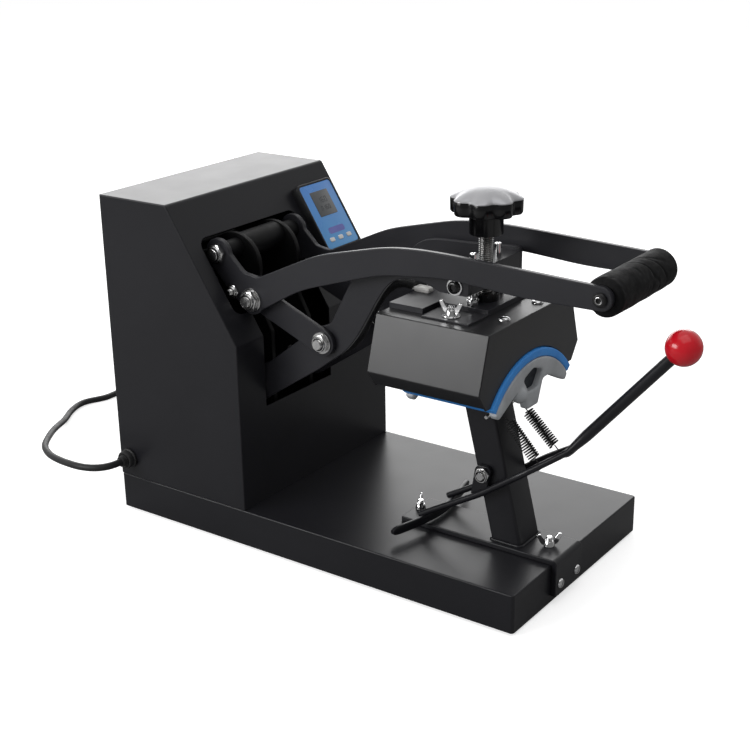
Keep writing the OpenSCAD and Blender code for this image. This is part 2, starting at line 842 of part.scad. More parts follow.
// A band that follows the arch of the pad
module arch_band(from_r, to_r, half_angle, y, length) {
    translate([0, y + length, arch_z])
        rotate([90, 0, 0])
            rotate([0, 0, 90 - half_angle])
                rotate_extrude(angle = 2 * half_angle, $fn = 96)
                    translate([from_r, 0]) square([to_r - from_r, length]);
}

pan_x = 28;
pan_y = cover_front_y + 11;

module platen_cover() {
    color("#3a3a3d") at_mech() difference() {
        face_plate(cover_front_y, cover_l) cover_outline(0, cover_tip_z);
        face_plate(cover_front_y + cover_t, cover_l - 2 * cover_t) cover_outline(cover_t, cover_tip_z - 4);
        arch_cut(pad_r + 2 * gap);
        for (x = [-pan_x, pan_x])
            translate([x, pan_y, 0]) cylinder(h = house_top, r = screw_r + bore_play);
        for (x = [-wing_x, wing_x])
            translate([x, wing_y, 0]) cylinder(h = house_top, r = stop_r + bore_play);
    }
}

module heating_platen() {
    y = cover_front_y + cover_t + gap;
    color("#a7a9aa") at_mech()
        arch_band(platen_in, platen_in + platen_t, 47, y, cover_l - 2 * (cover_t + gap));
}

module heater_element() {
    y = cover_front_y + cover_t + 6;
    from = platen_in + platen_t + 0.1;
    color("#c77b30") at_mech() arch_band(from, from + 1.6, 40, y, cover_l - 2 * (cover_t + 6));
}

module bracket_shape(inset) {
    translate([-bracket_wide_half + inset, bracket_step_y + inset])
        square([2 * (bracket_wide_half - inset), bracket_rear_y - bracket_step_y - 2 * inset]);
    translate([-bracket_half + inset, bracket_front_y + inset])
        square([2 * (bracket_half - inset), bracket_rear_y - bracket_front_y - 2 * inset]);
}

module hanger_bracket() {
    skin = 2;
    color("#2f2f31") at_mech() difference() {
        union() {
            translate([0, 0, cover_top_z]) linear_extrude(bracket_z - cover_top_z) bracket_shape(0);
            translate([-wing_x - 12, wing_y - 24, cover_top_z]) cube([2 * wing_x + 24, 46, 1.5]);
        }
        translate([0, 0, cover_top_z - 1])
            linear_extrude(bracket_z - cover_top_z + 1 - skin) bracket_shape(skin);
        for (x = [-guide_x, guide_x])
            translate([x, knob_y, 0]) cylinder(h = house_top, r = guide_r + bore_play);
        for (x = [-wing_x, wing_x])
            translate([x, wing_y, 0]) cylinder(h = house_top, r = stop_r + bore_play);
    }
}

module thrust_boss() {
    color("#161617") at_mech() translate([0, knob_y, bracket_z]) difference() {
        cylinder(h = boss_h, r = boss_r);
        translate([0, 0, -1]) cylinder(h = boss_h + 2, r = rod_r + bore_play);
    }
}

module guide_pins() {
    color("#d5d5d8") at_mech()
        for (x = [-guide_x, guide_x])
            translate([x, knob_y, cover_top_z]) cylinder(h = guide_top_z - cover_top_z, r = guide_r);
}

module wing_nut(h) {
    cylinder(h = h, r1 = 5, r2 = 4);
    for (side = [0, 180]) rotate(side)
        translate([0, 1, 0]) rotate([90, 0, 0]) linear_extrude(2)
            polygon(rounded([[2, 1, 0], [7, 2, 2], [12, h + 6, 2], [8, h + 7, 2], [3, h, 0]]));
}

module pan_screw(depth) {
    translate([0, 0, -depth]) cylinder(h = depth, r = screw_r);
    difference() {
        cylinder(h = 2.4, r1 = 5.2, r2 = 4);
        for (a = [45, 135]) rotate(a) translate([-2.4, -0.5, 1.4]) cube([4.8, 1, 2]);
    }
}

module platen_fasteners() {
    strip_z = cover_top_z + 1.5;
    color("#bdbdc0") at_mech() {
        for (x = [-pan_x, pan_x]) translate([x, pan_y, cover_top_z]) pan_screw(8);
        for (x = [-wing_x, wing_x]) translate([x, wing_y, strip_z]) {
            difference() {
                union() {
                    cylinder(h = 1, r = 8);
                    translate([0, 0, 1]) rotate(90) wing_nut(5);
                }
                translate([0, 0, -1]) cylinder(h = 20, r = stop_r);
            }
            translate([0, 0, -8]) cylinder(h = 17, r = stop_r);
        }
        for (x = [-guide_x, guide_x]) translate([x, knob_y, bracket_z]) difference() {
            cylinder(h = small_nut_h, r = small_nut_r, $fn = 6);
            translate([0, 0, -1]) cylinder(h = 9, r = guide_r + bore_play);
        }
    }
}

module heater_cable() {
    color("#202022") at_mech() tube(smooth(cable_points, 2), cable_r, 10, 0);
}

module cable_connector() {
    color("#e8e6e0") at_mech()
        translate([cable_points[0][0] - 5, bracket_rear_y - 15, bracket_z]) cube([10, 15, 6.5]);
}

// Cap form

module silicone_pad() {
    color("#2f80d8") at_mech() arch_band(pad_in, pad_r, pad_half_angle, pad_front_y, pad_l);
}

module rib_outline() {
    difference() {
        polygon(rounded([
            [-68, 186, 0], [-57, 174, 1], [-27, 188.5, 4], [-17, 188.5, 4], [-9, casting_foot_z, 0],
            [9, casting_foot_z, 0], [17, 188.5, 4], [27, 188.5, 4], [57, 174, 1], [68, 186, 0],
            [68, 230, 0], [-68, 230, 0]
        ]));
        polygon(rounded([[-17, 197, 2], [-7.5, 183.5, 1.5], [7.5, 183.5, 1.5], [17, 197, 2], [0, 203, 10]]));
    }
}

module pad_casting() {
    post_mid_y = post_foot_y + (casting_foot_z - post_foot_z) * tan(post_lean);
    color("#9b9d9c") at_mech() {
        arch_band(casting_r - 5, casting_r, pad_half_angle - 1, pad_front_y - 0.5, pad_l + 0.5);
        for (y = [pad_front_y - 0.5, pad_front_y + pad_l - rib_t])
            intersection() {
                face_plate(y, rib_t) rib_outline();
                arch_cut(casting_r - 1);
            }
        translate([-post_w / 2 - 3, post_mid_y - post_d / 2 - 4, casting_foot_z])
            cube([post_w + 6, post_d + 8, casting_r + arch_z - casting_foot_z - 7]);
        translate([-20, pad_front_y + 2, 184]) sphere(r = 7);
    }
}

module pedestal() {
    color("#2c2c2e") at_mech() difference() {
        intersection() {
            translate([-post_w / 2, post_foot_y, post_foot_z])
                rotate([-post_lean, 0, 0])
                    translate([0, -post_d / 2, -30])
                        cube([post_w, post_d, 220]);
            translate([-60, 0, post_foot_z]) cube([120, 200, casting_foot_z - post_foot_z]);
        }
        cross_bar(pivot_y, pivot_z, -40, 40, 4 + bore_play);
        cross_bar(spring_bar_y, spring_bar_z, -40, 40, 1.8 + bore_play);
    }
}

spring_bar_y = 66.5;
spring_bar_z = 159;

module base_bracket() {
    color("#39393b") at_mech() difference() {
        union() {
            translate([0, plate_l / 2 - bracket_t / 2, base_h])
                linear_extrude(bracket_t) polygon(box_outline(plate_w, plate_l + bracket_t, 2));
            translate([-plate_w / 2, -bracket_t, 6]) cube([plate_w, bracket_t, base_h - 4]);
        }
        for (y = [15, plate_l - 6])
            translate([0, y, base_h - 1]) cylinder(h = bracket_t + 2, r = stop_r + bore_play);
        for (x = [-15, 15])
            translate([x, 1, 16.5]) rotate([90, 0, 0]) cylinder(h = bracket_t + 2, r = screw_r + bore_play);
    }
}

module bracket_fasteners() {
    color("#c4c4c8") at_mech() {
        for (y = [15, plate_l - 6]) translate([0, y, base_h]) {
            cylinder(h = bracket_t + 9, r = stop_r);
            translate([0, 0, bracket_t]) wing_nut(5);
        }
        for (x = [-15, 15]) translate([x, -bracket_t, 16.5]) {
            rotate([-90, 0, 0]) cylinder(h = bracket_t, r = screw_r);
            rotate([90, 0, 0]) difference() {
                cylinder(h = 2.2, r1 = 4.5, r2 = 3.8);
                translate([-5, -0.6, 1.1]) cube([10, 1.2, 3]);
            }
        }
    }
}

// Cap lever

ear_in = post_w / 2 + 1;
ear_out = pin_x - lever_rod_r + 0.4;

module pivot_bolt() {
    end = ear_out + gap + small_nut_h;
    color("#8c8c90") at_mech() {
        cross_bar(pivot_y, pivot_z, -end - 1, end + 1, 4);
        both_sides() cross_nut(pivot_y, pivot_z, ear_out + gap, small_nut_h, 7.4, 4);
        cross_bar(spring_bar_y, spring_bar_z, -25, 25, 1.8);
    }
}

module lever_rod() {
    points = [
        [8, joint_y, joint_z], [pin_x, 32, 113], [pin_x, pivot_y, pivot_z - 17],
        [pin_x, bow_y - 4, bow_z + bow_t / 2 + lever_rod_r - 0.5]
    ];
    for (i = [0:2]) rod_between(points[i], points[i + 1], lever_rod_r);
    for (i = [1:2]) translate(points[i]) sphere(r = lever_rod_r + 0.2);
}

module bow_outline() {
    rear = bow_y + 5;
    polygon(rounded([
        [-bow_half_w, rear, 2], [-bow_half_w, rear - 7, 3], [-pin_x, rear - 15, 10],
        [0, rear - 19, 20], [pin_x, rear - 15, 10], [bow_half_w, rear - 7, 3], [bow_half_w, rear, 2]
    ]));
}

module lever_frame() {
    color("#2b2b2d") at_mech() difference() {
        union() {
            rod_between([0, grip_start_y, grip_start_z], [0, joint_y, joint_z], lever_r);
            translate([0, joint_y, joint_z]) sphere(r = lever_r + 0.6);
            cross_bar(joint_y, joint_z, -9, 9, 4);
            both_sides() {
                lever_rod();
                side_plate(ear_in, ear_out - ear_in)
                    polygon(rounded([
                        [pivot_y - 8, pivot_z + 8, 7], [pivot_y + 8, pivot_z + 8, 7],
                        [pivot_y + 13, pivot_z - 24, 3], [pivot_y - 3, pivot_z - 17, 3]
                    ]));
            }
            translate([0, 0, bow_z - bow_t / 2]) linear_extrude(bow_t) bow_outline();
        }
        cross_bar(pivot_y, pivot_z, -40, 40, 4 + bore_play);
    }
}

grip_start_y = -ball_ahead + 0.66 * ball_r;
grip_start_z = ball_z - 0.75 * ball_r;

module lever_ball() {
    color("#c3102a") at_mech() difference() {
        translate([0, -ball_ahead, ball_z]) sphere(r = ball_r, $fn = 64);
        rod_between([0, grip_start_y, grip_start_z], [0, joint_y, joint_z], lever_r + bore_play);
    }
}

module spring(side) {
    foot = [side * 20, spring_foot_y, spring_foot_z + 7];
    top = [side * 21, spring_top_y + 3, spring_top_z + 3];
    color("#55555a") at_mech() {
        rod_between(foot, top, spring_r);
        rod_between(top, [side * 21, spring_bar_y - 3, spring_bar_z], 1);
    }
}

// Controller

screen_w = 45;
screen_l = 63;
recess = 1.2;
button_pitch = 13.5;
button_s = -screen_l / 2 + 6;
button_r = 3.6;
button_rise = 1.6;

module controller_box() {
    color("#1d1d20") at_base() on_slope(control_x, control_s) difference() {
        linear_extrude(control_h) polygon(box_outline(control_w, control_l, 5));
        translate([0, 0, control_h - recess])
            linear_extrude(recess + 1) polygon(box_outline(screen_w, screen_l, 1.5));
        for (i = [-1:1])
            translate([i * button_pitch, button_s, control_h - recess - 4])
                cylinder(h = 8, r = button_r + gap);
    }
}

module controller_face() {
    color("#4f8fd0") at_base() on_slope(control_x, control_s)
        translate([0, 0, control_h - recess]) difference() {
            linear_extrude(face_t) polygon(box_outline(screen_w - 2 * gap, screen_l - 2 * gap, 1.5));
            for (i = [-1:1])
                translate([i * button_pitch, button_s, -1]) cylinder(h = 4, r = button_r + gap);
        }
}

module controller_display() {
    color("#5a5d60") at_base() on_slope(control_x, control_s)
        translate([0, 10.5, control_h - recess + face_t])
            linear_extrude(0.5) polygon(box_outline(screen_w - 8, 31, 1));
}

module button(i) {
    color("#f2f2f2") at_base() on_slope(control_x, control_s)
        translate([i * button_pitch, button_s, control_h - recess - 4 + button_stroke + gap])
            cylinder(h = 4 + recess + button_rise - button_stroke - gap, r = button_r);
}

// Mains cord

gland_tip = base_w / 2 + 13.7;

module cord_gland() {
    wall = -base_w / 2;
    color("#1a1a1b") at_base() difference() {
        union() {
            translate([wall, gland_y, gland_z]) rotate([0, -90, 0]) cylinder(h = 5, r = gland_r + 1, $fn = 6);
            translate([wall - 5, gland_y, gland_z])
                rotate([0, -90, 0]) cylinder(h = gland_tip - base_w / 2 - 5, r1 = gland_r - 1, r2 = gland_r - 3.5);
            cross_bar(gland_y, gland_z, wall, wall + 10, gland_r * 0.66);
            cross_bar(gland_y, gland_z, wall + sheet_t, wall + sheet_t + 4, gland_r - 0.5);
        }
        cross_bar(gland_y, gland_z, -gland_tip - 1, wall + 11, cord_r);
    }
}

module mains_cord() {
    color("#1c1c1e") at_base() tube(smooth(cord_points, 2), cord_r, cord_sides, floor_z);
}

module cord_coil() {
    color("#1c1c1e") at_base() translate([coil_x, coil_y, -foot_h])
        rotate_extrude($fn = 72)
            translate([coil_r - coil_rows * cord_r, 0]) square(2 * cord_r * coil_rows);
}

module plug_cord() {
    color("#1c1c1e") at_base() tube(smooth(plug_points, 3), cord_r, cord_sides, floor_z);
}

module mains_plug() {
    end = plug_points[len(plug_points) - 1] + [gap, 0, 0];
    color("#1c1c1e") at_base() translate(end) {
        rotate([0, 90, 0]) cylinder(h = 8, r1 = cord_r, r2 = 8);
        translate([8, -12, -10]) cube([26, 24, 20]);
    }
    color("#c8c8cc") at_base() translate(end) {
        for (y = [-6.3, 6.3]) translate([34, y - 0.75, -1]) cube([17, 1.5, 6.3]);
        translate([34, 0, -5]) rotate([0, 90, 0]) cylinder(h = 19, r = 2.3);
    }
}

base_tray();
base_bottom();
feet();
housing_shell();
rear_cover();
rear_cover_screws();
power_switch();
power_rocker();
frame_plate(-1);  // frame_plate_left
frame_plate(1);  // frame_plate_right
main_shaft();
arm_shaft();
shaft_spacers();
shaft_nuts();
handle_plate(-1);  // handle_plate_left
handle_plate(1);  // handle_plate_right
grip_tube();
grip_foam();
handle_fasteners();
link_bolts_upper();
link_plate(-1);  // link_left
link_plate(1);  // link_right
link_bolts_lower();
platen_arm(-1);  // platen_arm_left
platen_arm(1);  // platen_arm_right
cross_block();
arm_fasteners();
knob_body();
knob_cap();
threaded_rod();
platen_cover();
heating_platen();
heater_element();
hanger_bracket();
thrust_boss();
guide_pins();
platen_fasteners();
heater_cable();
cable_connector();
silicone_pad();
pad_casting();
pedestal();
base_bracket();
bracket_fasteners();
pivot_bolt();
lever_frame();
lever_ball();
spring(-1);  // spring_left
spring(1);  // spring_right
controller_box();
controller_face();
controller_display();
button(-1);  // button_left
button(0);  // button_middle
button(1);  // button_right
cord_gland();
mains_cord();
cord_coil();
plug_cord();
mains_plug();
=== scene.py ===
import json
from math import asin, cos, pi, radians, sin, tan, tau

import bmesh
import bpy
from mathutils import Matrix, Vector, noise


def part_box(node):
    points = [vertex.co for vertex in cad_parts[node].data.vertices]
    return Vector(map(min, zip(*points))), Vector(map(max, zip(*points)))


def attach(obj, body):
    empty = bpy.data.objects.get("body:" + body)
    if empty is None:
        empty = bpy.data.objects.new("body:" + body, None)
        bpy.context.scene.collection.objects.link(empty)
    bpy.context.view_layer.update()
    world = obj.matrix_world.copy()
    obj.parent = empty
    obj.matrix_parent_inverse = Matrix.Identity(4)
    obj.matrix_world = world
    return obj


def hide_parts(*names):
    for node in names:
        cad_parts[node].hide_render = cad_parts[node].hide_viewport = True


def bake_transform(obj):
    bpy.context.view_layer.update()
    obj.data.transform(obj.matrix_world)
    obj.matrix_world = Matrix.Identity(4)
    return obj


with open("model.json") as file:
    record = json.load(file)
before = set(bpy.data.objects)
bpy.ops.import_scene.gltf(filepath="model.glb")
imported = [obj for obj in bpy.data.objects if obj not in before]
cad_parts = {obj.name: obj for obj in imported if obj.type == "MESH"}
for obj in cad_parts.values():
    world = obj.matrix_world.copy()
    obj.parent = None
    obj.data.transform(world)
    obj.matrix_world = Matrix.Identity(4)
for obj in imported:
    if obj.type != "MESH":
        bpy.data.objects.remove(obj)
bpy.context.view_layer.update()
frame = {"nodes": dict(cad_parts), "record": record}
nodes = frame["nodes"]
record = frame["record"]
bodyOf = {name: body for body, names in record["behaviour"]["bodies"].items() for name in names}
scene = bpy.context.scene

# Sizes are in millimetres, from the front of the base and from its underside
layout = {"frontY": -169.65, "footHeight": 3.0, "mechX": -28.0}
millimetre = Matrix.Scale(0.001, 4)
metre = Matrix.Scale(1000, 4)
upward = Vector((0, 0, 1))


def spun(angle, axis):
    return Matrix.Rotation(radians(angle), 4, axis)


def basePoint(x, y, z):
    return Vector((x, y + layout["frontY"], z + layout["footHeight"])) / 1000


def mechPoint(x, y, z):
    return basePoint(x + layout["mechX"], y, z)


def standing(x, y, z):
    return Matrix.Translation(mechPoint(x, y, z)) @ millimetre


mechPlace = standing(0, 0, 0)


def aimed(point, direction, turn=0.0):
    look = Vector(direction).to_track_quat("Z", "Y").to_matrix().to_4x4()
    return Matrix.Translation(point) @ look @ spun(turn, "Z") @ millimetre


# Mesh helpers

def turned(profile, sides=32):
    angles = [tau * k / sides for k in range(sides)]
    return [[(radius * cos(a), radius * sin(a), height) for a in angles] for radius, height in profile]


def hoop(centre, side, up, radius, sides):
    return [centre + radius * (cos(tau * k / sides) * side + sin(tau * k / sides) * up) for k in range(sides)]


def level(outline, height):
    return [(x, y, height) for x, y in outline]


def upright(outline, x):
    return [(x, y, z) for y, z in outline]


def bend(start, corner, end, steps):
    shares = [k / steps for k in range(steps + 1)]
    return [start * (1 - t) ** 2 + corner * 2 * t * (1 - t) + end * t * t for t in shares]


def boxOutline(width, depth, radius, x=0.0, y=0.0, steps=5):
    outline = []
    for quarter, (sx, sy) in enumerate(((1, -1), (1, 1), (-1, 1), (-1, -1))):
        cx, cy = x + sx * (width / 2 - radius), y + sy * (depth / 2 - radius)
        for k in range(steps + 1):
            a = radians(-90 + 90 * quarter + 90 * k / steps)
            outline.append((cx + radius * cos(a), cy + radius * sin(a)))
    return outline


def roundedOutline(points, steps=5):
    outline = []
    for i, (x, y, radius) in enumerate(points):
        p = Vector((x, y))
        before = Vector(points[i - 1][:2]) - p
        after = Vector(points[(i + 1) % len(points)][:2]) - p
        if radius <= 0:
            outline.append((x, y))
            continue
        reach = min(radius, before.length * 0.45, after.length * 0.45)
        outline += [(q.x, q.y) for q in bend(p + before.normalized() * reach, p, p + after.normalized() * reach, steps)]
    return outline


def addRings(shell, rings, matrix=millimetre, closed=False):
    rows = [[shell.verts.new(matrix @ Vector(point)) for point in ring] for ring in rings]
    pairs = list(zip(rows, rows[1:]))
    if closed:
        pairs.append((rows[-1], rows[0]))
    for low, high in pairs:
        for i in range(len(low)):
            j = (i + 1) % len(low)
            shell.faces.new((low[i], low[j], high[j], high[i]))
    if not closed:
        shell.faces.new(rows[0][::-1])
        shell.faces.new(rows[-1])


def addPlate(shell, outline, thickness, matrix=millimetre):
    addRings(shell, [level(outline, 0), level(outline, thickness)], matrix)


def smoothPath(points, steps):
    points = [Vector(p) for p in points]
    path = []
    for i in range(len(points) - 1):
        a, b = points[max(i - 1, 0)], points[i]
        c, d = points[i + 1], points[min(i + 2, len(points) - 1)]
        for j in range(steps):
            t = j / steps
            path.append((2 * b + (c - a) * t + (2 * a - 5 * b + 4 * c - d) * t * t
                         + (3 * b - a - 3 * c + d) * t ** 3) / 2)
    return path + [points[-1]]


def pathRings(path, radius, sides):
    rings = []
    side = None
    for i, point in enumerate(path):
        along = (path[min(i + 1, len(path) - 1)] - path[max(i - 1, 0)]).normalized()
        if side is None:
            side = along.orthogonal().normalized()
        side = (side - along * side.dot(along)).normalized()
        rings.append(hoop(point, side, along.cross(side), radius, sides))
    return rings


def evenLoop(points, step=0, count=0):
    closed = points + [points[0]]
    spans = [(b - a).length for a, b in zip(closed, closed[1:])]
    count = count or int(sum(spans) / step)
    even = []
    i, used = 0, 0.0
    for k in range(count):
        reach = sum(spans) * k / count
        while reach > used + spans[i]:
            used += spans[i]
            i += 1
        even.append(closed[i].lerp(closed[i + 1], (reach - used) / spans[i]))
    return even


def newObject(name, data):
    item = bpy.data.objects.new(name, data)
    scene.collection.objects.link(item)
    return item


def smoothFaces(piece, sharp=None):
    piece.data.polygons.foreach_set("use_smooth", [True] * len(piece.data.polygons))
    if sharp:
        piece.data.set_sharp_from_angle(angle=radians(sharp))
    return piece


def fromShell(name, shell, materials):
    mesh = bpy.data.meshes.new(name)
    shell.to_mesh(mesh)
    shell.free()
    for material in materials:
        mesh.materials.append(material)
    return newObject(name, mesh)


def makePiece(name, shell, material, smooth=35):
    # A smooth angle of 0 leaves every face flat
    bmesh.ops.recalc_face_normals(shell, faces=shell.faces)
    piece = fromShell(name, shell, [material])
    return smoothFaces(piece, smooth) if smooth else piece


def stacked(name, rings, place, material, smooth=40, closed=False):
    shell = bmesh.new()
    addRings(shell, rings, place, closed)
    return makePiece(name, shell, finish[material], smooth)


def bakeModifiers(piece):
    graph = bpy.context.evaluated_depsgraph_get()
    mesh = bpy.data.meshes.new_from_object(piece.evaluated_get(graph), depsgraph=graph)
    piece.modifiers.clear()
    piece.data = mesh


def finishShading(piece, keepSharp=False):
    smoothFaces(piece, None if keepSharp else 60)
    piece.modifiers.new("evenShading", "WEIGHTED_NORMAL").keep_sharp = keepSharp
    bakeModifiers(piece)
    return piece


def bevel(piece, width, segments, angle, method="ANGLE"):
    edge = piece.modifiers.new("roundedEdges", "BEVEL")
    edge.width = width / 1000
    edge.segments = segments
    edge.limit_method = method
    edge.angle_limit = radians(angle)
    return edge


def roundEdges(piece, width, angle=40):
    bevel(piece, width, 2, angle)
    return finishShading(piece, keepSharp=True)


def joinPieces(name, pieces):
    shell = bmesh.new()
    materials = []
    for piece in pieces:
        first = len(shell.faces)
        shell.from_mesh(piece.data)
        shell.faces.ensure_lookup_table()
        slots = []
        for material in piece.data.materials:
            if material not in materials:
                materials.append(material)
            slots.append(materials.index(material))
        for face in shell.faces[first:]:
            face.material_index = slots[face.material_index]
        bpy.data.objects.remove(piece)
    return fromShell(name, shell, materials)


def settle(piece, *standsFor):
    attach(piece, bodyOf[standsFor[0]])
    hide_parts(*standsFor)
    return piece


def rideBase(piece):
    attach(piece, "base")


# Material helpers

def addNode(tree, kind, sockets=None, **settings):
    item = tree.nodes.new(kind)
    for key, value in settings.items():
        setattr(item, key, value)
    for key, value in (sockets or {}).items():
        if isinstance(value, bpy.types.NodeSocket):
            tree.links.new(value, item.inputs[key])
        else:
            item.inputs[key].default_value = value
    return item


def blankMaterial(name):
    material = bpy.data.materials.new(name)
    material.use_nodes = True
    tree = material.node_tree
    tree.nodes.clear()
    shader = addNode(tree, "ShaderNodeBsdfPrincipled")
    addNode(tree, "ShaderNodeOutputMaterial", {"Surface": shader.outputs[0]})
    return material, tree, shader


def calc(tree, operation, *values):
    return addNode(tree, "ShaderNodeMath", dict(enumerate(values)), operation=operation).outputs[0]


def ramp(tree, factor, stops):
    item = addNode(tree, "ShaderNodeValToRGB", {"Fac": factor})
    elements = item.color_ramp.elements
    while len(elements) < len(stops):
        elements.new(0.5)
    for element, (position, colour) in zip(elements, stops):
        element.position = position
        element.color = (*colour, 1)
    return item.outputs["Color"]


def ownPlace(tree):
    return addNode(tree, "ShaderNodeTexCoord").outputs["Object"]


def noiseOf(tree, place, scale, detail=3.0, rough=0.5):
    return addNode(tree, "ShaderNodeTexNoise", {
        "Vector": place, "Scale": scale, "Detail": detail, "Roughness": rough}).outputs["Fac"]


def spread(tree, factor, low, high, fromLow=0.3, fromHigh=0.7):
    return addNode(tree, "ShaderNodeMapRange", {
        "Value": factor, "From Min": fromLow, "From Max": fromHigh, "To Min": low, "To Max": high}).outputs[0]


def bump(tree, height, depth):
    return addNode(tree, "ShaderNodeBump", {"Height": height, "Distance": depth, "Strength": 1.0}).outputs[0]


# Colours that the mottling runs between, mottling and grain in 1/m, and the grain's depth in micrometres
finishKeys = ("dark", "light", "mottle", "rough", "specular", "grain", "depth", "metallic", "coat")
finishLooks = {
    "powderCoat": ((0.0095, 0.0095, 0.0118), (0.0115, 0.0115, 0.0142), 9, (0.325, 0.35), 0.34, 1500, 6),
    "handleCoat": ((0.0165, 0.0165, 0.02), (0.0195, 0.0195, 0.0235), 12, (0.34, 0.39), 0.42, 1300, 10),
    # innerSteel: darker and duller than the outer coat, painted shade on the steel inside the housing and under the
    # base
    "innerSteel": ((0.003, 0.003, 0.0035), (0.005, 0.005, 0.0055), 20, (0.4, 0.55), 0.2, 900, 10),
    "zinc": ((0.6, 0.6, 0.61), (0.74, 0.735, 0.72), 200, (0.16, 0.26), 0.5, 900, 1, 1.0),
    "threadSteel": ((0.2, 0.2, 0.2), (0.36, 0.35, 0.34), 150, (0.16, 0.28), 0.5, 900, 1, 1.0),
    "chrome": ((0.78, 0.78, 0.79), (0.86, 0.86, 0.86), 120, (0.06, 0.12), 0.5, 600, 0.6, 1.0),
    "blackOxide": ((0.016, 0.016, 0.018), (0.035, 0.034, 0.034), 90, (0.3, 0.48), 0.5, 2000, 8, 0.6),
    "foam": ((0.0025, 0.0025, 0.003), (0.0045, 0.0045, 0.005), 60, (0.62, 0.78), 0.2, 1100, 120),
    "knobPlastic": ((0.003, 0.003, 0.0035), (0.005, 0.005, 0.0055), 30, (0.16, 0.26), 0.5, 900, 6),
    "boxPlastic": ((0.008, 0.008, 0.009), (0.012, 0.012, 0.013), 40, (0.36, 0.46), 0.4, 2600, 10),
    "silverCap": ((0.43, 0.43, 0.445), (0.47, 0.47, 0.485), 30, (0.34, 0.38), 0.5, 500, 0.6, 0.4),
    "castAluminium": ((0.36, 0.375, 0.39), (0.47, 0.49, 0.51), 45, (0.45, 0.6), 0.5, 700, 30, 0.2),
    # castPocket: near-black cast finish for the web behind the casting's hole, painted shade of the pocket
    "castPocket": ((0.018, 0.022, 0.028), (0.03, 0.036, 0.043), 90, (0.5, 0.65), 0.3, 700, 50),
    "platenAluminium": ((0.36, 0.36, 0.36), (0.5, 0.5, 0.49), 80, (0.3, 0.42), 0.5, 1500, 10, 1.0),
    "heaterFoil": ((0.3, 0.1, 0.03), (0.5, 0.2, 0.06), 50, (0.5, 0.65), 0.4, 900, 20),
    "silicone": ((0.034, 0.235, 0.67), (0.048, 0.29, 0.76), 45, (0.42, 0.55), 0.35, 1400, 20),
    "redBall": ((0.58, 0.006, 0.015), (0.64, 0.009, 0.02), 30, (0.16, 0.2), 0.45, 500, 1, 0, 0.2),
    "rubber": ((0.01, 0.01, 0.011), (0.018, 0.018, 0.019), 60, (0.42, 0.58), 0.4, 1300, 20),
    "whiteNylon": ((0.7, 0.69, 0.66), (0.8, 0.79, 0.77), 90, (0.3, 0.42), 0.45, 900, 8),
    "redSwitch": ((0.4, 0.01, 0.01), (0.48, 0.015, 0.012), 50, (0.2, 0.3), 0.5, 900, 5),
    "display": ((0.075, 0.082, 0.088), (0.095, 0.1, 0.105), 60, (0.08, 0.14), 0.5, 600, 2, 0, 0.5),
    "displayMark": ((0.035, 0.04, 0.045), (0.05, 0.055, 0.06), 90, (0.2, 0.3), 0.4, 600, 2),
    "violetBand": ((0.15, 0.17, 0.48), (0.18, 0.19, 0.52), 60, (0.3, 0.36), 0.4, 900, 3),
    "springSteel": ((0.012, 0.012, 0.013), (0.03, 0.03, 0.03), 300, (0.3, 0.45), 0.5, 2500, 6, 0.5),
    "coverCoat": ((0.0065, 0.0065, 0.008), (0.008, 0.008, 0.0095), 9, (0.36, 0.39), 0.6, 1300, 6),
    "nylonInsert": ((0.006, 0.006, 0.006), (0.012, 0.012, 0.012), 200, (0.5, 0.6), 0.3, 1500, 5),
    "braid": ((0.006, 0.006, 0.007), (0.02, 0.02, 0.022), 900, (0.45, 0.65), 0.4, 3000, 30),
}


def makeFinish(name, row):
    look = dict(zip(finishKeys, row))
    material, tree, shader = blankMaterial(name)
    place = ownPlace(tree)
    mottle = noiseOf(tree, place, look["mottle"], 4.0, 0.55)
    patches = noiseOf(tree, place, look["mottle"] * 3.7, 2.0)
    grain = noiseOf(tree, place, look["grain"], 2.0)
    tree.links.new(ramp(tree, mottle, [(0.35, look["dark"]), (0.65, look["light"])]), shader.inputs["Base Color"])
    tree.links.new(spread(tree, patches, *look["rough"]), shader.inputs["Roughness"])
    tree.links.new(bump(tree, grain, look["depth"] / 1000000), shader.inputs["Normal"])
    shader.inputs["Metallic"].default_value = look.get("metallic", 0.0)
    shader.inputs["Specular IOR Level"].default_value = look["specular"]
    shader.inputs["Coat Weight"].default_value = look.get("coat", 0.0)
    shader.inputs["Coat Roughness"].default_value = 0.06
    return material


finish = {name: makeFinish(name, row) for name, row in finishLooks.items()}


def panelFinish():
    # Printed polycarbonate under a thin gloss: its blue turns lighter towards the bottom of the face
    look = {"top": (0.1, 0.28, 0.68), "low": (0.13, 0.4, 0.78), "rough": (0.2, 0.3)}
    material, tree, shader = blankMaterial("bluePanel")
    place = ownPlace(tree)
    height = addNode(tree, "ShaderNodeSeparateXYZ", {"Vector": place}).outputs["Z"]
    drift = noiseOf(tree, place, 40.0)
    share = spread(tree, height, 0.0, 1.0, 0.245, 0.3)
    mixed = calc(tree, "ADD", share, spread(tree, drift, -0.12, 0.12))
    tree.links.new(ramp(tree, mixed, [(0.0, look["low"]), (1.0, look["top"])]), shader.inputs["Base Color"])
    tree.links.new(spread(tree, drift, *look["rough"]), shader.inputs["Roughness"])
    tree.links.new(bump(tree, noiseOf(tree, place, 1800.0), 0.000004), shader.inputs["Normal"])
    return material


finish["bluePanel"] = panelFinish()
print("materials: %d finishes" % len(finish))

# The camera and the room

studio = {
    "eye": (-1.0042, -0.66785, 0.6141),
    "azimuth": -54.42, "elevation": 20.48, "roll": -0.89,
    "focalPixels": 1392.8, "framePixels": 750,
    "floorHalf": 14.0, "floorColour": (0.82, 0.82, 0.82), "floorBounce": (0.34, 0.34, 0.34),
    "floorGlow": 0.6,
    "skyStrength": 0.62, "skyFront": 0.22, "skyBack": 1.0,
}


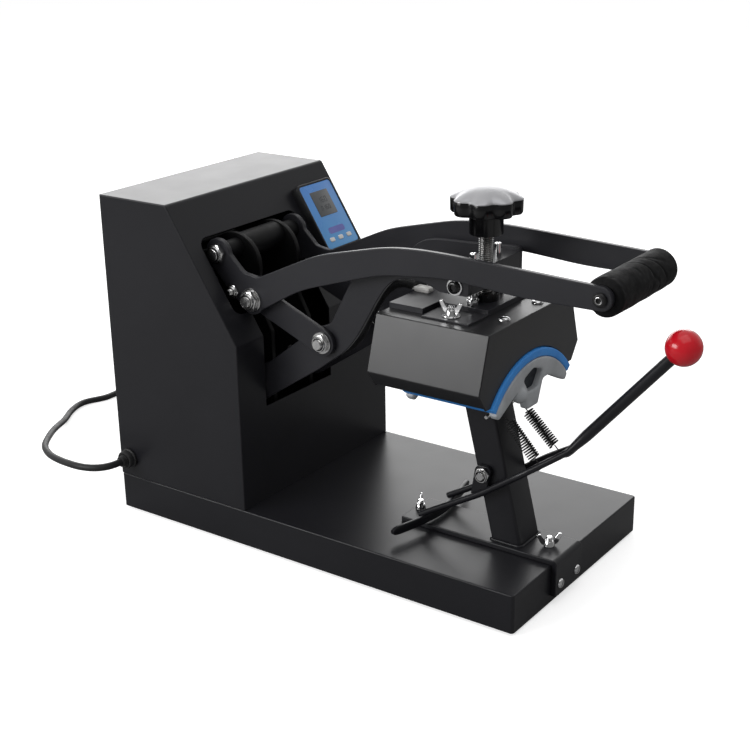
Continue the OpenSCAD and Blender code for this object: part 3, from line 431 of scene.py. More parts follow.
def buildCamera():
    camera = newObject("photoCamera", bpy.data.cameras.new("photoCamera"))
    camera.data.sensor_width = 36.0
    camera.data.lens = 36.0 * studio["focalPixels"] / studio["framePixels"]
    a, e = radians(studio["azimuth"]), radians(studio["elevation"])
    back = Vector((sin(a) * cos(e), -cos(a) * cos(e), sin(e)))
    right = Vector((0, 0, 1)).cross(back).normalized()
    up = back.cross(right)
    roll = radians(studio["roll"])
    turnedRight = cos(roll) * right + sin(roll) * up
    turnedUp = cos(roll) * up - sin(roll) * right
    camera.matrix_world = Matrix.Translation(studio["eye"]) @ Matrix(
        (turnedRight, turnedUp, back)).transposed().to_4x4()
    camera.data.clip_start, camera.data.clip_end = 0.05, 60.0
    scene.camera = camera


def buildRoom():
    world = bpy.data.worlds.new("studioSky")
    world.use_nodes = True
    scene.world = world
    tree = world.node_tree
    tree.nodes.clear()
    path = addNode(tree, "ShaderNodeLightPath").outputs
    heading = addNode(tree, "ShaderNodeVectorMath", {
        0: addNode(tree, "ShaderNodeTexCoord").outputs["Generated"], 1: (0.78, 0.55, 0.3)},
        operation="DOT_PRODUCT").outputs["Value"]
    reflected = addNode(tree, "ShaderNodeBackground", {
        "Strength": spread(tree, heading, studio["skyFront"], studio["skyBack"], -0.1, 0.95)})
    plain = addNode(tree, "ShaderNodeBackground", {"Strength": studio["skyStrength"]})
    white = addNode(tree, "ShaderNodeBackground", {"Color": (1, 1, 1, 1), "Strength": 1.0})
    shiny = calc(tree, "MAXIMUM", path["Is Glossy Ray"], path["Is Transmission Ray"])
    first = addNode(tree, "ShaderNodeMixShader", {0: shiny, 1: plain.outputs[0], 2: reflected.outputs[0]})
    last = addNode(tree, "ShaderNodeMixShader", {0: path["Is Camera Ray"], 1: first.outputs[0], 2: white.outputs[0]})
    addNode(tree, "ShaderNodeOutputWorld", {"Surface": last.outputs[0]})

    half = studio["floorHalf"]
    mesh = bpy.data.meshes.new("studioFloor")
    mesh.from_pydata([(-half, -half, 0), (half, -half, 0), (half, half, 0), (-half, half, 0)], [], [(0, 1, 2, 3)])
    material, tree, shader = blankMaterial("paleFloor")
    place = ownPlace(tree)
    pale = studio["floorColour"]
    paper = tuple(0.97 * value for value in pale)
    tree.links.new(ramp(tree, noiseOf(tree, place, 3.0), [(0.3, paper), (0.7, pale)]), shader.inputs["Base Color"])
    shader.inputs["Roughness"].default_value = 0.9
    shader.inputs["Specular IOR Level"].default_value = 0.0
    glow = addNode(tree, "ShaderNodeEmission", {"Strength": studio["floorGlow"]})
    lifted = addNode(tree, "ShaderNodeAddShader", {0: shader.outputs[0], 1: glow.outputs[0]})
    bounce = addNode(tree, "ShaderNodeBsdfDiffuse", {"Color": (*studio["floorBounce"], 1)})
    camera = addNode(tree, "ShaderNodeLightPath").outputs["Is Camera Ray"]
    total = addNode(tree, "ShaderNodeMixShader", {0: camera, 1: bounce.outputs[0], 2: lifted.outputs[0]})
    output = next(item for item in tree.nodes if item.type == "OUTPUT_MATERIAL")
    tree.links.new(total.outputs[0], output.inputs["Surface"])
    mesh.materials.append(material)
    newObject("studioFloor", mesh)


softboxes = {
    "overhead": dict(at=(-0.3, -0.4, 1.7), size=(1.4, 1.4), glow=0.9),
    "sideSoftbox": dict(at=(-1.35, 0.9, 0.78), size=(1.2, 0.6), glow=7.2),
    "backPanel": dict(at=(1.9, 1.35, 0.85), size=(2.6, 1.3), glow=2.4),
}


def addSoftbox(name, look):
    lamp = bpy.data.lights.new(name, "AREA")
    lamp.shape = "RECTANGLE"
    lamp.size, lamp.size_y = look["size"]
    lamp.energy = look["glow"] * pi * look["size"][0] * look["size"][1]
    box = newObject(name, lamp)
    aim = Vector((0.0, 0.05, 0.15)) - Vector(look["at"])
    box.matrix_world = Matrix.Translation(look["at"]) @ aim.to_track_quat("-Z", "Y").to_matrix().to_4x4()
    box.visible_camera = False


buildCamera()
buildRoom()
for boxName, boxLook in softboxes.items():
    addSoftbox(boxName, boxLook)
scene.view_settings.view_transform = "Standard"
print("camera, floor and %d softboxes in place" % len(softboxes))

# Mains cord: out of the side, round the back, three turns of coil, and the plug

cordRoute = {
    "radius": 3.5, "sides": 14,
    "out": [(-130, 437, 55), (-139, 438, 55), (-147.5, 442.5, 54.7), (-154, 451, 54.3), (-157, 464, 53.5),
            (-155, 482, 51.5), (-147, 508, 47), (-132, 538, 40), (-104, 577, 29), (-68, 614, 17),
            (-30, 646, 7.5), (4, 667, 2), (32, 685, 0.5), (58, 692, 0.5), (84, 682, 0.5), (108, 680, 0.5),
            (126, 664, 0.5), (132, 638, 0.5), (130, 614, 0.5), (118, 596, 0.5), (98, 587, 0.5),
            (78, 584.5, 0.5), (60, 584.05, 0.5)],
    "coilCentre": (60, 535), "coilOuter": 42.0, "coilInner": 35.0, "coilLow": 0.5, "coilHigh": 7.5,
    "tail": [(23.5, 497, 1), (32.5, 485.5, 3), (44, 478, 5.6), (52, 475, 7), (60, 475, 7)],
}


def ease(value, low, high):
    share = min(1.0, max(0.0, (value - low) / (high - low)))
    return share * share * (3 - 2 * share)


def coilPoint(angle):
    look = cordRoute
    outer, inner, low, high = look["coilOuter"], look["coilInner"], look["coilLow"], look["coilHigh"]
    step = outer - inner
    radius = outer + step * (1 - ease(angle, 90, 150))
    radius -= step * ease(angle, 450, 510)
    radius += step * ease(angle, 1050, 1110)
    height = low + (high - low) * ease(angle, 750, 810)
    leave = radians(90 * ease(angle, 1215, 1290))
    radius += step * sin(leave)
    height -= (high - low) * (1 - cos(leave))
    turn = radians(angle)
    return Vector((look["coilCentre"][0] + radius * cos(turn),
                   look["coilCentre"][1] + radius * sin(turn), height))


def buildCord():
    look = cordRoute
    route = smoothPath(look["out"], 4)
    route = [Vector((p.x, p.y, max(p.z, 0.5))) for p in route][:-1]
    route += [coilPoint(angle) for angle in range(90, 1291, 10)]
    route += smoothPath([coilPoint(1280), coilPoint(1290)] + look["tail"], 4)[5:]
    route = [Vector((p.x, p.y, max(p.z, 0.5))) for p in route]
    path = [basePoint(*p) for p in route]
    cord = stacked("mainsLead", pathRings(path, look["radius"] / 1000, look["sides"]), Matrix(), "rubber", 50)
    length = sum((b - a).length for a, b in zip(path, path[1:]))
    return settle(cord, "mains_cord", "cord_coil", "plug_cord"), path, length


cordPiece, cordPath, cordLength = buildCord()
print("mains lead: %.3f m" % cordLength)


def mergedCopy(name, dissolve=False):
    shell = bmesh.new()
    shell.from_mesh(nodes[name].data)
    bmesh.ops.remove_doubles(shell, verts=shell.verts, dist=1e-5)
    if dissolve:
        bmesh.ops.dissolve_limit(shell, angle_limit=radians(0.6), verts=shell.verts, edges=shell.edges)
    return shell


def dressedCopy(name, width, segments, material, clamp=False, pick=None):
    shell = mergedCopy(name, dissolve=True)
    if pick:
        weight = shell.edges.layers.float.new("bevel_weight_edge")
        for edge in shell.edges:
            if len(edge.link_faces) == 2 and edge.calc_face_angle(0) > radians(30):
                edge[weight] = pick(edge)
    piece = fromShell(name + "_dressed", shell, [material])
    edge = bevel(piece, width, segments, 30, "WEIGHT" if pick else "ANGLE")
    edge.loop_slide = False
    edge.use_clamp_overlap = clamp
    finishShading(piece)
    return settle(piece, name)


def sideFolds(edge):
    # The folds of the housing are round, and the cut edges of its slot stay crisp
    half = 0.1161
    middle = (edge.verts[0].co + edge.verts[1].co) / 2
    return 1.0 if abs(middle.x) > half else 0.25


# Rounded edge in mm, its segments, the finish, and whether a short edge may hold the rounding back
dressing = {
    "housing_shell": (1.2, 3, "powderCoat", False),
    "rear_cover": (0.4, 1, "powderCoat", False),
    # The frame plates and spacers inside the housing take the near-black inner finish, which is painted shade
    "frame_plate_left": (0.4, 1, "innerSteel", False),
    "frame_plate_right": (0.4, 1, "innerSteel", False),
    "link_left": (0.6, 2, "handleCoat", False),
    "link_right": (0.6, 2, "handleCoat", False),
    "cross_block": (0.8, 2, "handleCoat", True),
    "platen_cover": (0.9, 2, "coverCoat", False),
    "heating_platen": (0.6, 2, "platenAluminium", False),
    "hanger_bracket": (0.5, 2, "handleCoat", True),
    "power_switch": (0.4, 2, "boxPlastic", False),
    "power_rocker": (0.5, 2, "redSwitch", False),
    "shaft_spacers": (0.5, 2, "innerSteel", False),
    "main_shaft": (0.8, 2, "zinc", False),
    "arm_shaft": (0.8, 2, "zinc", False),
}
for partName, (edgeWidth, edgeSegments, finishName, mayClamp) in dressing.items():
    dressedCopy(partName, edgeWidth, edgeSegments, finish[finishName], mayClamp,
                sideFolds if partName == "housing_shell" else None)
print("rounded edges on %d parts" % len(dressing))

# Base tray, its bracket and the leaning post

trayLook = {"corner": 3.0, "fold": 1.3, "sheet": 1.5, "foldSteps": 5}


def buildTray():
    low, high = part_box("base_tray")
    width, length = (high[0] - low[0]) * 1000, (high[1] - low[1]) * 1000
    top = high[2] * 1000 - layout["footHeight"]
    corner, fold, sheet, steps = trayLook.values()

    def ring(inset, height):
        return level(boxOutline(width - 2 * inset, length - 2 * inset, max(0.5, corner - inset), 0, length / 2, 6),
                     height)

    rings = [ring(sheet, top - sheet), ring(sheet, 0), ring(0, 0), ring(0, top - fold)]
    for k in range(1, steps + 1):
        a = radians(90 * k / steps)
        rings.append(ring(fold * (1 - cos(a)), top - fold + fold * sin(a)))
    tray = stacked("base_tray_folded", rings, Matrix.Translation(basePoint(0, 0, 0)) @ millimetre, "powderCoat")
    settle(finishShading(tray), "base_tray")


postLook = {"width": 34.0, "depth": 29.0, "lean": 13.7, "corner": 2.6, "footY": 49.0,
            "stations": (40.7, 85.0, 130.0, 168.0), "bead": 1.5, "beadLumps": 88, "beadOut": 0.6}


def buildPost():
    look = postLook
    lean, out = radians(look["lean"]), look["beadOut"]
    depth, foot = look["depth"] / cos(lean), look["stations"][0]
    outline = boxOutline(look["width"], depth, look["corner"])
    post = stacked("postTube", [[(x, y + look["footY"] + (z - foot) * tan(lean), z) for x, y in outline]
                                for z in look["stations"]], mechPlace, "powderCoat")
    # Weld bead: overlapping ripples round the foot
    loop = evenLoop([Vector((x, y + look["footY"], foot + 0.2)) for x, y in boxOutline(
        look["width"] + 2 * out, depth + 2 * out, look["corner"] + out)], count=2 * look["beadLumps"])
    rings = []
    for k, point in enumerate(loop):
        along = (loop[(k + 1) % len(loop)] - loop[k - 1]).normalized()
        ripple = 0.9 + (0.16 if k % 2 else -0.06) + 0.25 * noise.noise(point * 0.35)
        rings.append(hoop(point, along.cross(upward), upward, look["bead"] * ripple, 8))
    weld = stacked("postWeld", rings, mechPlace, "powderCoat", 70, closed=True)
    settle(joinPieces("pedestal_welded", [post, weld]), "pedestal")


bracketLook = {"width": 47.0, "length": 156.0, "thick": 5.0, "fold": 4.5, "top": 40.7, "foot": 6.0, "edge": 0.7}


def buildBracket():
    width, length, t, fold, top, foot, edge = bracketLook.values()
    profile = [(length, top - t), (0, top - t), (0, foot), (-t, foot)]
    for k in range(7):
        a = radians(180 - 15 * k)
        profile.append((-t + fold + fold * cos(a), top - fold + fold * sin(a)))
    profile.append((length, top))
    rings = [upright(profile, x) for x in (-width / 2, width / 2)]
    settle(roundEdges(stacked("base_bracket_folded", rings, mechPlace, "powderCoat", 35), edge), "base_bracket")


buildTray()
buildPost()
buildBracket()
print("base: tray, post and bracket")

# Plates whose long edges sweep in smooth curves

def outerLoop(name, side):
    # The outline of a plate, taken from the flat face on its outer side
    shell = mergedCopy(name, dissolve=True)
    outside = max(v.co.x * side for v in shell.verts)
    rim = [edge for edge in shell.edges
           if all(abs(v.co.x * side - outside) < 2e-5 for v in edge.verts)
           and any(abs(face.normal.x) < 0.5 for face in edge.link_faces)]
    links = {}
    for edge in rim:
        for v, other in (edge.verts, reversed(edge.verts)):
            links.setdefault(v.index, []).append(other.index)
    shell.verts.ensure_lookup_table()
    loops, seen = [], set()
    for start in links:
        if start in seen:
            continue
        loop, at, before = [start], links[start][0], start
        while at != start:
            loop.append(at)
            before, at = at, next((n for n in links[at] if n != before), start)
        seen.update(loop)
        loops.append([shell.verts[i].co.copy() for i in loop])
    shell.free()
    loop = max(loops, key=lambda points: max(p.y for p in points) - min(p.y for p in points))
    return [Vector((p.y, p.z)) * 1000 for p in loop], outside * 1000 * side


# Thickness and rounded edge, and where the smoothing starts and ends, in mm from the front of the base, with the
# lengths over which it comes in and goes out
sweep = {
    "step": 2.0, "rounds": 60,
    "handle_plate": (5.0, 0.7, -30, 25, 282, 20),
    "platen_arm": (4.5, 0.6, 108, 15, 205, 12),
}


def sweptPlate(part, side, word):
    thickness, edge, start, fadeIn, end, fadeOut = sweep[part]
    name = "%s_%s" % (part, word)
    loop, outside = outerLoop(name, side)
    loop = evenLoop(loop, sweep["step"])
    for _ in range(sweep["rounds"]):
        moved = []
        for k, p in enumerate(loop):
            y = p.x - layout["frontY"]
            calm = 0.5 * max(0.0, min(1.0, (y - start) / fadeIn, (end - y) / fadeOut))
            moved.append(p.lerp((loop[k - 1] + loop[(k + 1) % len(loop)]) / 2, calm))
        loop = moved
    rings = [upright(loop, x) for x in (outside - side * thickness, outside)]
    settle(roundEdges(stacked(name + "_swept", rings, millimetre, "handleCoat"), edge, 50), name)


for plateSide, plateWord in ((-1, "left"), (1, "right")):
    for partName in ("handle_plate", "platen_arm"):
        sweptPlate(partName, plateSide, plateWord)
print("handle and platen arms: swept plates")

# Screws, nuts and washers

def hexNut(corner, height, bore, lift, sides=48):
    flat = corner * cos(pi / 6)
    rows = [[] for _ in range(8)]
    for k in range(sides):
        a = tau * k / sides
        reach = flat / cos(a % (pi / 3) - pi / 6)
        drop = 0.25 + 0.55 * (reach - flat)
        profile = ((bore, 0.5), (bore + 0.5, 0), (flat * 0.97, 0), (reach, drop), (reach, height - drop),
                   (flat * 0.97, height), (bore + 0.5, height), (bore, height - 0.5))
        for row, (r, z) in zip(rows, profile):
            row.append((r * cos(a), r * sin(a), lift + z))
    return rows


def stud(radius, low, high, pitch=1.0, depth=0.32):
    profile = [(radius - depth, low)]
    z = low + pitch / 2
    while z < high - pitch:
        profile += [(radius, z), (radius - depth, z + pitch / 2)]
        z += pitch
    yield turned(profile + [(radius - 0.1, high - 0.7), (radius - 0.8, high)], 24), False, False


def bar(radius, low, high, dark=False):
    yield turned([(radius - 0.3, low), (radius, low + 0.3), (radius, high - 0.3), (radius - 0.3, high)]), False, dark


def washer(radius, bore, low, thick):
    high = low + thick
    yield turned([(bore, low), (radius - 0.3, low), (radius, low + 0.3), (radius, high - 0.3), (radius - 0.3, high),
                  (bore, high)], 40), True, False


def plainNut(low, corner, height, bore):
    yield hexNut(corner, height, bore, low), False, False


def lockNut(low, corner, height, bore, collar=0.36, collarWidth=0.9, insert=1.3):
    # collar: share of the height that is round, and its width against the flats
    yield from plainNut(low, corner, height * (1 - collar), bore)
    body, top, wide = low + height * (1 - collar), low + height, bore + insert
    flat = corner * cos(pi / 6) * collarWidth
    yield turned([(wide, body - 0.4), (flat + 0.2, body - 0.4), (flat, body + 0.2), (flat - 0.1, top - 0.8),
                  (flat - 0.9, top), (wide + 0.2, top), (wide, top - 0.3)], 40), True, False
    yield turned([(bore - 0.2, body - 0.3), (wide + 0.1, body - 0.3), (wide + 0.1, top - 1.0),
                  (bore - 0.2, top - 0.8)]), True, True


def darkCap(*profile):
    yield turned(profile, 36), False, True


def brightRing(*profile):
    yield turned(profile, 24), True, False


class Fasteners:
    # Gathers the bright and the dark metal of one part's fasteners
    def __init__(self, bright="zinc", dark="nylonInsert"):
        self.shells = (bmesh.new(), bmesh.new())
        self.finishes = (finish[bright], finish[dark])

    def add(self, place, *items):
        for item in items:
            for rings, closed, dark in item:
                addRings(self.shells[dark], rings, place, closed)

    def finishAs(self, name, node, extra=()):
        pieces = list(extra)
        for shell, material in zip(self.shells, self.finishes):
            if len(shell.faces):
                pieces.append(makePiece(name + "Part", shell, material, 42))
            else:
                shell.free()
        settle(joinPieces(name, pieces), node)


def across(side, x, y, z, turn=0.0):
    return aimed(mechPoint(side * x, y, z), (side, 0, 0), turn)


# Where each axis starts, with its turn, and what sits along it, in mm: bars, studs and washers by radius first,
# nuts by their low end, corner radius, height and bore. An axis is on both sides unless it says once
fastenerRows = {
    "shaft_nuts": ("zinc", "nylonInsert", {
        (57.3, 334, 272, 10): [(lockNut, 0, 9.8, 7, 6.06)],
        (44.3, 303, 147, 25): [(plainNut, 0, 9.8, 5, 6.06)]}),
    "link_bolts_upper": ("zinc", "nylonInsert", {
        (0, 296, 234, 12): [(washer, 11, 5.2, 57, 1.4), (lockNut, 58.4, 9.8, 7, 5), (stud, 5, 58, 67.4),
                            (bar, 5, 45, 58.2), (bar, 8, 49.3, 52)]}),
    "link_bolts_lower": ("zinc", "nylonInsert", {
        (0, 223, 204, 20): [(washer, 10, 5.2, 49, 1.4), (lockNut, 50.4, 8.8, 4.6, 5), (stud, 5, 50, 57.4),
                            (bar, 5, 44.3, 50.2)]}),
    "handle_fasteners": ("zinc", "blackOxide", {
        (0, 317, 239, 0): [(lockNut, 57, 7.4, 5.2, 3.5), (stud, 3.5, 57, 65.4), (bar, 3, 52, 57.5),
                           (bar, 5.5, 49.3, 52)],
        (0, -51.5, 292.5, 0): [
            (bar, 3, 38, 57),
            (darkCap, (5.6, 57), (6.0, 57.4), (5.9, 58.6), (5.2, 59.8), (4.2, 60.4), (3.0, 60.4), (2.7, 60.2),
             (2.6, 58.6), (0.1, 58.5)),
            (brightRing, (2.62, 58.7), (3.1, 60.35), (2.75, 60.5), (2.3, 60.2), (2.2, 58.8))]}),
    "arm_fasteners": ("chrome", "knobPlastic", {
        (0, 86.5, 277, 0): [
            (bar, 3, 28, 44), (washer, 7.4, 5.6, 43.9, 1.3), (bar, 6.2, 44, 45, True),
            (darkCap, (5.2, 44.6), (5.4, 46.8), (4.7, 47.6), (3.0, 47.9), (2.8, 46.6), (0.1, 46.6))],
        (0, 223, 204, 20): [(bar, 5, 34, 44), (plainNut, 34.5, 8.8, 5, 5)]}),
    "pivot_bolt": ("zinc", "nylonInsert", {
        (0, 70.5, 103, 0, "once"): [(bar, 4, -24, 24)],
        (0, 70.5, 103, 15): [(lockNut, 21.8, 7.4, 4.8, 4), (stud, 4, 21.5, 27.8)],
        (0, 66.5, 159, 0, "once"): [(bar, 1.8, -25, 25)]}),
}


def buildCrossFasteners():
    for node, (bright, dark, stations) in fastenerRows.items():
        gather = Fasteners(bright, dark)
        for axis, items in stations.items():
            for side in ((1,) if "once" in axis else (-1, 1)):
                gather.add(across(side, *axis[:4]), *(make(*sizes) for make, *sizes in items))
        gather.finishAs(node + "_turned", node)


wingLook = {"hubLow": 5.0, "hubHigh": 4.0, "hubHeight": 5.0, "bore": 3.0, "thick": 2.0, "edge": 0.5,
            "wing": [(2, 0.8, 0), (7, 1.6, 2), (12, 11, 2.6), (8.2, 12, 2.6), (3, 5, 0)]}


def wingNut(gather, place, turn, pieces):
    low, high, top, bore, thick, edge, wing = wingLook.values()
    hub = turned([(bore, 0), (low - 0.4, 0), (low, 0.5), (high + 0.1, top - 0.6), (high - 0.5, top), (bore, top)])
    gather.add(place, [(hub, True, False)])
    for half in (0, 180):
        stand = place @ spun(turn + half, "Z") @ Matrix.Translation((0, thick / 2, 0)) @ spun(90, "X")
        rings = [level(roundedOutline(wing), z) for z in (0, thick)]
        pieces.append(roundEdges(stacked("wing", rings, stand, "chrome", 35), edge))


def slottedHead(radius, height, cross, material="chrome", depth=1.0):
    # A domed head with one slot or a cross cut into it, on its own axis
    head = stacked("head", turned([
        (radius - 0.3, 0), (radius, 0.3), (radius * 0.97, height * 0.4), (radius * 0.8, height * 0.8),
        (radius * 0.45, height * 0.97), (0.02, height)], 40), millimetre, material, 30)
    cutter = bmesh.new()
    reach = radius * (0.62 if cross else 1.2)
    for turn in ((45, 135) if cross else (0,)):
        addPlate(cutter, [(-reach, -0.45), (reach, -0.45), (reach, 0.45), (-reach, 0.45)], 3.0,
                 spun(turn, "Z") @ millimetre @ Matrix.Translation((0, 0, height - depth)))
    knife = makePiece("cut", cutter, finish[material], smooth=0)
    cut = head.modifiers.new("slot", "BOOLEAN")
    cut.operation = "DIFFERENCE"
    cut.solver = "EXACT"
    cut.use_self = True
    cut.object = knife
    bakeModifiers(head)
    bpy.data.objects.remove(knife)
    head.data.set_sharp_from_angle(angle=radians(30))
    return head


def placedCopy(template, matrix):
    copy = newObject(template.name, template.data.copy())
    copy.data.transform(matrix @ metre)
    return copy


# x, y, z of each pair in mm, and the sizes of what sits there, in the order of fastenerRows
platenBolts = {
    "screws": (28, 48.4, 251), "head": (5.2, 2.4), "shank": (2, -8, 0.3),
    "wings": (47, 88, 252.5), "washer": (8, 3.1, 0, 1), "stud": (3, -8, 9),
    "nuts": (20, 83.5, 256), "nut": (0, 5.8, 5, 2.86), "nutTurn": 17,
}


def buildPlatenHardware():
    look = platenBolts
    platen, extra = Fasteners("chrome"), []

    def pair(key, turn=0):
        x, y, z = look[key]
        return [(side, aimed(mechPoint(side, y, z), upward, turn)) for side in (-x, x)]

    screw = slottedHead(*look["head"], True)
    for x, spot in pair("screws"):
        extra.append(placedCopy(screw, spot @ Matrix.Rotation(0.3 * x, 4, "Z")))
        platen.add(spot, bar(*look["shank"]))
    bpy.data.objects.remove(screw)
    for x, spot in pair("wings"):
        platen.add(spot, washer(*look["washer"]))
        wingNut(platen, spot @ Matrix.Translation((0, 0, look["washer"][-1])), 90, extra)
        platen.add(spot, stud(*look["stud"]))
    for x, spot in pair("nuts", look["nutTurn"]):
        platen.add(spot, plainNut(*look["nut"]))
    platen.finishAs("platen_fasteners_turned", "platen_fasteners", extra)


# Place along the bracket and turn of each wing nut, and place across and turn of each slotted screw
bracketBolts = {
    "wings": ((15, -48), (150, 30)), "wingZ": 35.7, "wingLift": 5, "stud": (3, 0, 14),
    "screws": ((-15, 62), (15, 48)), "screwY": -5, "screwZ": 16.5, "head": (4.5, 2.2), "shank": (2, -5, 0.3),
}


def buildBracketHardware():
    look = bracketBolts
    studs, extra = Fasteners("chrome"), []
    for y, turn in look["wings"]:
        spot = aimed(mechPoint(0, y, look["wingZ"]), upward)
        studs.add(spot, stud(*look["stud"]))
        wingNut(studs, spot @ Matrix.Translation((0, 0, look["wingLift"])), turn, extra)
    screw = slottedHead(*look["head"], False)
    for x, turn in look["screws"]:
        spot = aimed(mechPoint(x, look["screwY"], look["screwZ"]), (0, -1, 0), turn)
        extra.append(placedCopy(screw, spot))
        studs.add(spot, bar(*look["shank"]))
    bpy.data.objects.remove(screw)
    studs.finishAs("bracket_fasteners_turned", "bracket_fasteners", extra)


pinLook = {"x": 20.0, "y": 83.5, "low": 251.0, "high": 301.0, "radius": 2.8, "slot": 1.2}


def buildGuidePins():
    reach, y, low, high, radius, slot = pinLook.values()
    pins = []
    for x in (-reach, reach):
        head = slottedHead(radius, 0.9, False, "chrome", slot)
        head.data.transform(aimed(mechPoint(x, y, high - 0.9), upward, 35) @ metre)
        pins += [head, stacked("pin", turned([(radius, low), (radius, high - 1.2), (radius - 0.3, high - 0.9)]),
                               standing(x, y, 0), "chrome")]
    settle(joinPieces("guide_pins_turned", pins), "guide_pins")


buildCrossFasteners()
buildPlatenHardware()
buildBracketHardware()
buildGuidePins()
print("screws, nuts, washers and wing nuts")

# Pressure screw: lobed knob, silver cap

knobLook = {"radius": 31.0, "lobes": 8, "scallop": 4.4, "low": 330.7, "height": 13.4, "capHeight": 9.2,
            "hubRadius": 14.5, "hubHeight": 17.7, "y": 83.5, "turn": 21.1, "sides": 168}


def lobedRing(share, height, waist=1.0):
    look = knobLook
    ring = []
    for k in range(look["sides"]):
        a = tau * k / look["sides"]
        wave = (1 - cos(look["lobes"] * (a - radians(look["turn"])))) / 2
        reach = (look["radius"] - look["scallop"] * waist * wave ** 1.5) * share
        ring.append((reach * cos(a), reach * sin(a), height))
    return ring


def buildKnob():
    look = knobLook
    place = standing(0, look["y"], look["low"])
    h, low, top = look["height"], -look["hubHeight"], look["capHeight"]
    hub = look["hubRadius"] / look["radius"]
    body = [(hub * 0.8, low, 0), (hub * 0.95, low, 0), (hub, low + 1.0, 0), (hub, -1.2, 0), (hub * 1.06, 0.1, 0),
            (0.86, 0.2), (0.955, 0.7), (0.99, 2.2), (0.997, h - 1.4), (0.985, h - 0.6), (0.9, h - 0.5),
            (0.3, h - 0.5, 0.2)]
    dome = [(0.93, h - 0.45), (0.995, h - 0.5), (1.0, h), (0.99, h + 0.5)]
    for share in (0.95, 0.89, 0.82, 0.74, 0.65, 0.55, 0.44, 0.32, 0.2, 0.1, 0.02):
        dome.append((share, h + 0.6 + (top - 0.6) * (1 - (share / 0.99) ** 2.2), share ** 3))
    for name, rows, finishName, node in (("knob_body_moulded", body, "knobPlastic", "knob_body"),
                                         ("knob_cap_pressed", dome, "silverCap", "knob_cap")):
        settle(stacked(name, [lobedRing(*row) for row in rows], place, finishName, 50), node)


# Grip: soft foam sleeve on a plated tube

foamLook = {"half": 51.0, "radius": 16.6, "bore": 9.1, "y": -51.5, "z": 292.5, "around": 72, "along": 110,
            "dents": 0.5, "creases": 0.7}


def buildFoam():
    look = foamLook
    half, count, sides = look["half"], look["along"], look["around"]
    rings = []
    for i in range(count + 1):
        x = -half + 2 * half * i / count
        shoulder = 1.6 * (1 - min(1.0, (half - abs(x)) / 3.2)) ** 2
        ring = []
        for k in range(sides):
            a = tau * k / sides
            spot = look["radius"] * Vector((0, cos(a), sin(a))) + Vector((x, 0, 0))
            dent = look["dents"] * noise.noise(spot * 0.07)
            fold = noise.noise(Vector((x * 0.06 + cos(a) * 0.8, sin(a) * 0.8, 3.1)))
            soft = max(0.0, min(1.0, 0.5 + 2.2 * noise.noise(spot * 0.03 + Vector((5.0, 0, 2.0)))))
            crease = -look["creases"] * soft * max(0.0, 1 - abs(fold) * 9)
            r = look["radius"] - 0.35 - shoulder + dent + crease
            ring.append((x, r * cos(a), r * sin(a)))
        rings.append(ring)
    rings += [hoop(Vector((x, 0, 0)), Vector((0, 1, 0)), upward, look["bore"], sides) for x in (half, -half)]
    foam = stacked("grip_foam_sleeve", rings, standing(0, look["y"], look["z"]), "foam", 60, closed=True)
    settle(foam, "grip_foam")


buildKnob()
buildFoam()
print("knob and grip")

# Cap lever: ball, tube, two bent rods, ears and the bow

leverLook = {
    "ballRadius": 15.0, "ballAt": (0, -97.5, 246.1), "tubeRadius": 5.0, "rodRadius": 2.9,
    "gripStart": (0, -87.6, 234.85), "joint": (0, -2.7, 136.4),
    "rod": [(6.5, -6.5, 139.5), (10, 1, 134), (24, 32, 113), (24, 70.5, 86), (24, 135, 48.5)], "bend": 9.0,
    "ear": [(62.5, 111, 6), (78.5, 111, 6), (83.5, 79, 2.5), (67.5, 86, 2.5)], "earIn": 18.0, "earOut": 21.5,
    "bow": [(-63.5, 138.5), (-44, 133), (-22, 128.3), (0, 126.5), (22, 128.3), (44, 133), (63.5, 138.5)],
    "bowZ": 45.8, "bowHigh": 4.2, "bowThick": 2.0, "bowEnds": (0.45, 0.8, 0.95),
}


def bentPath(points, reach):
    points = [Vector(p) for p in points]
    path = [points[0]]
    for before, p, after in zip(points, points[1:], points[2:]):
        path += bend(p + (before - p).normalized() * min(reach, (before - p).length * 0.45), p,
                     p + (after - p).normalized() * min(reach, (after - p).length * 0.45), 6)
    return path + [points[-1]]


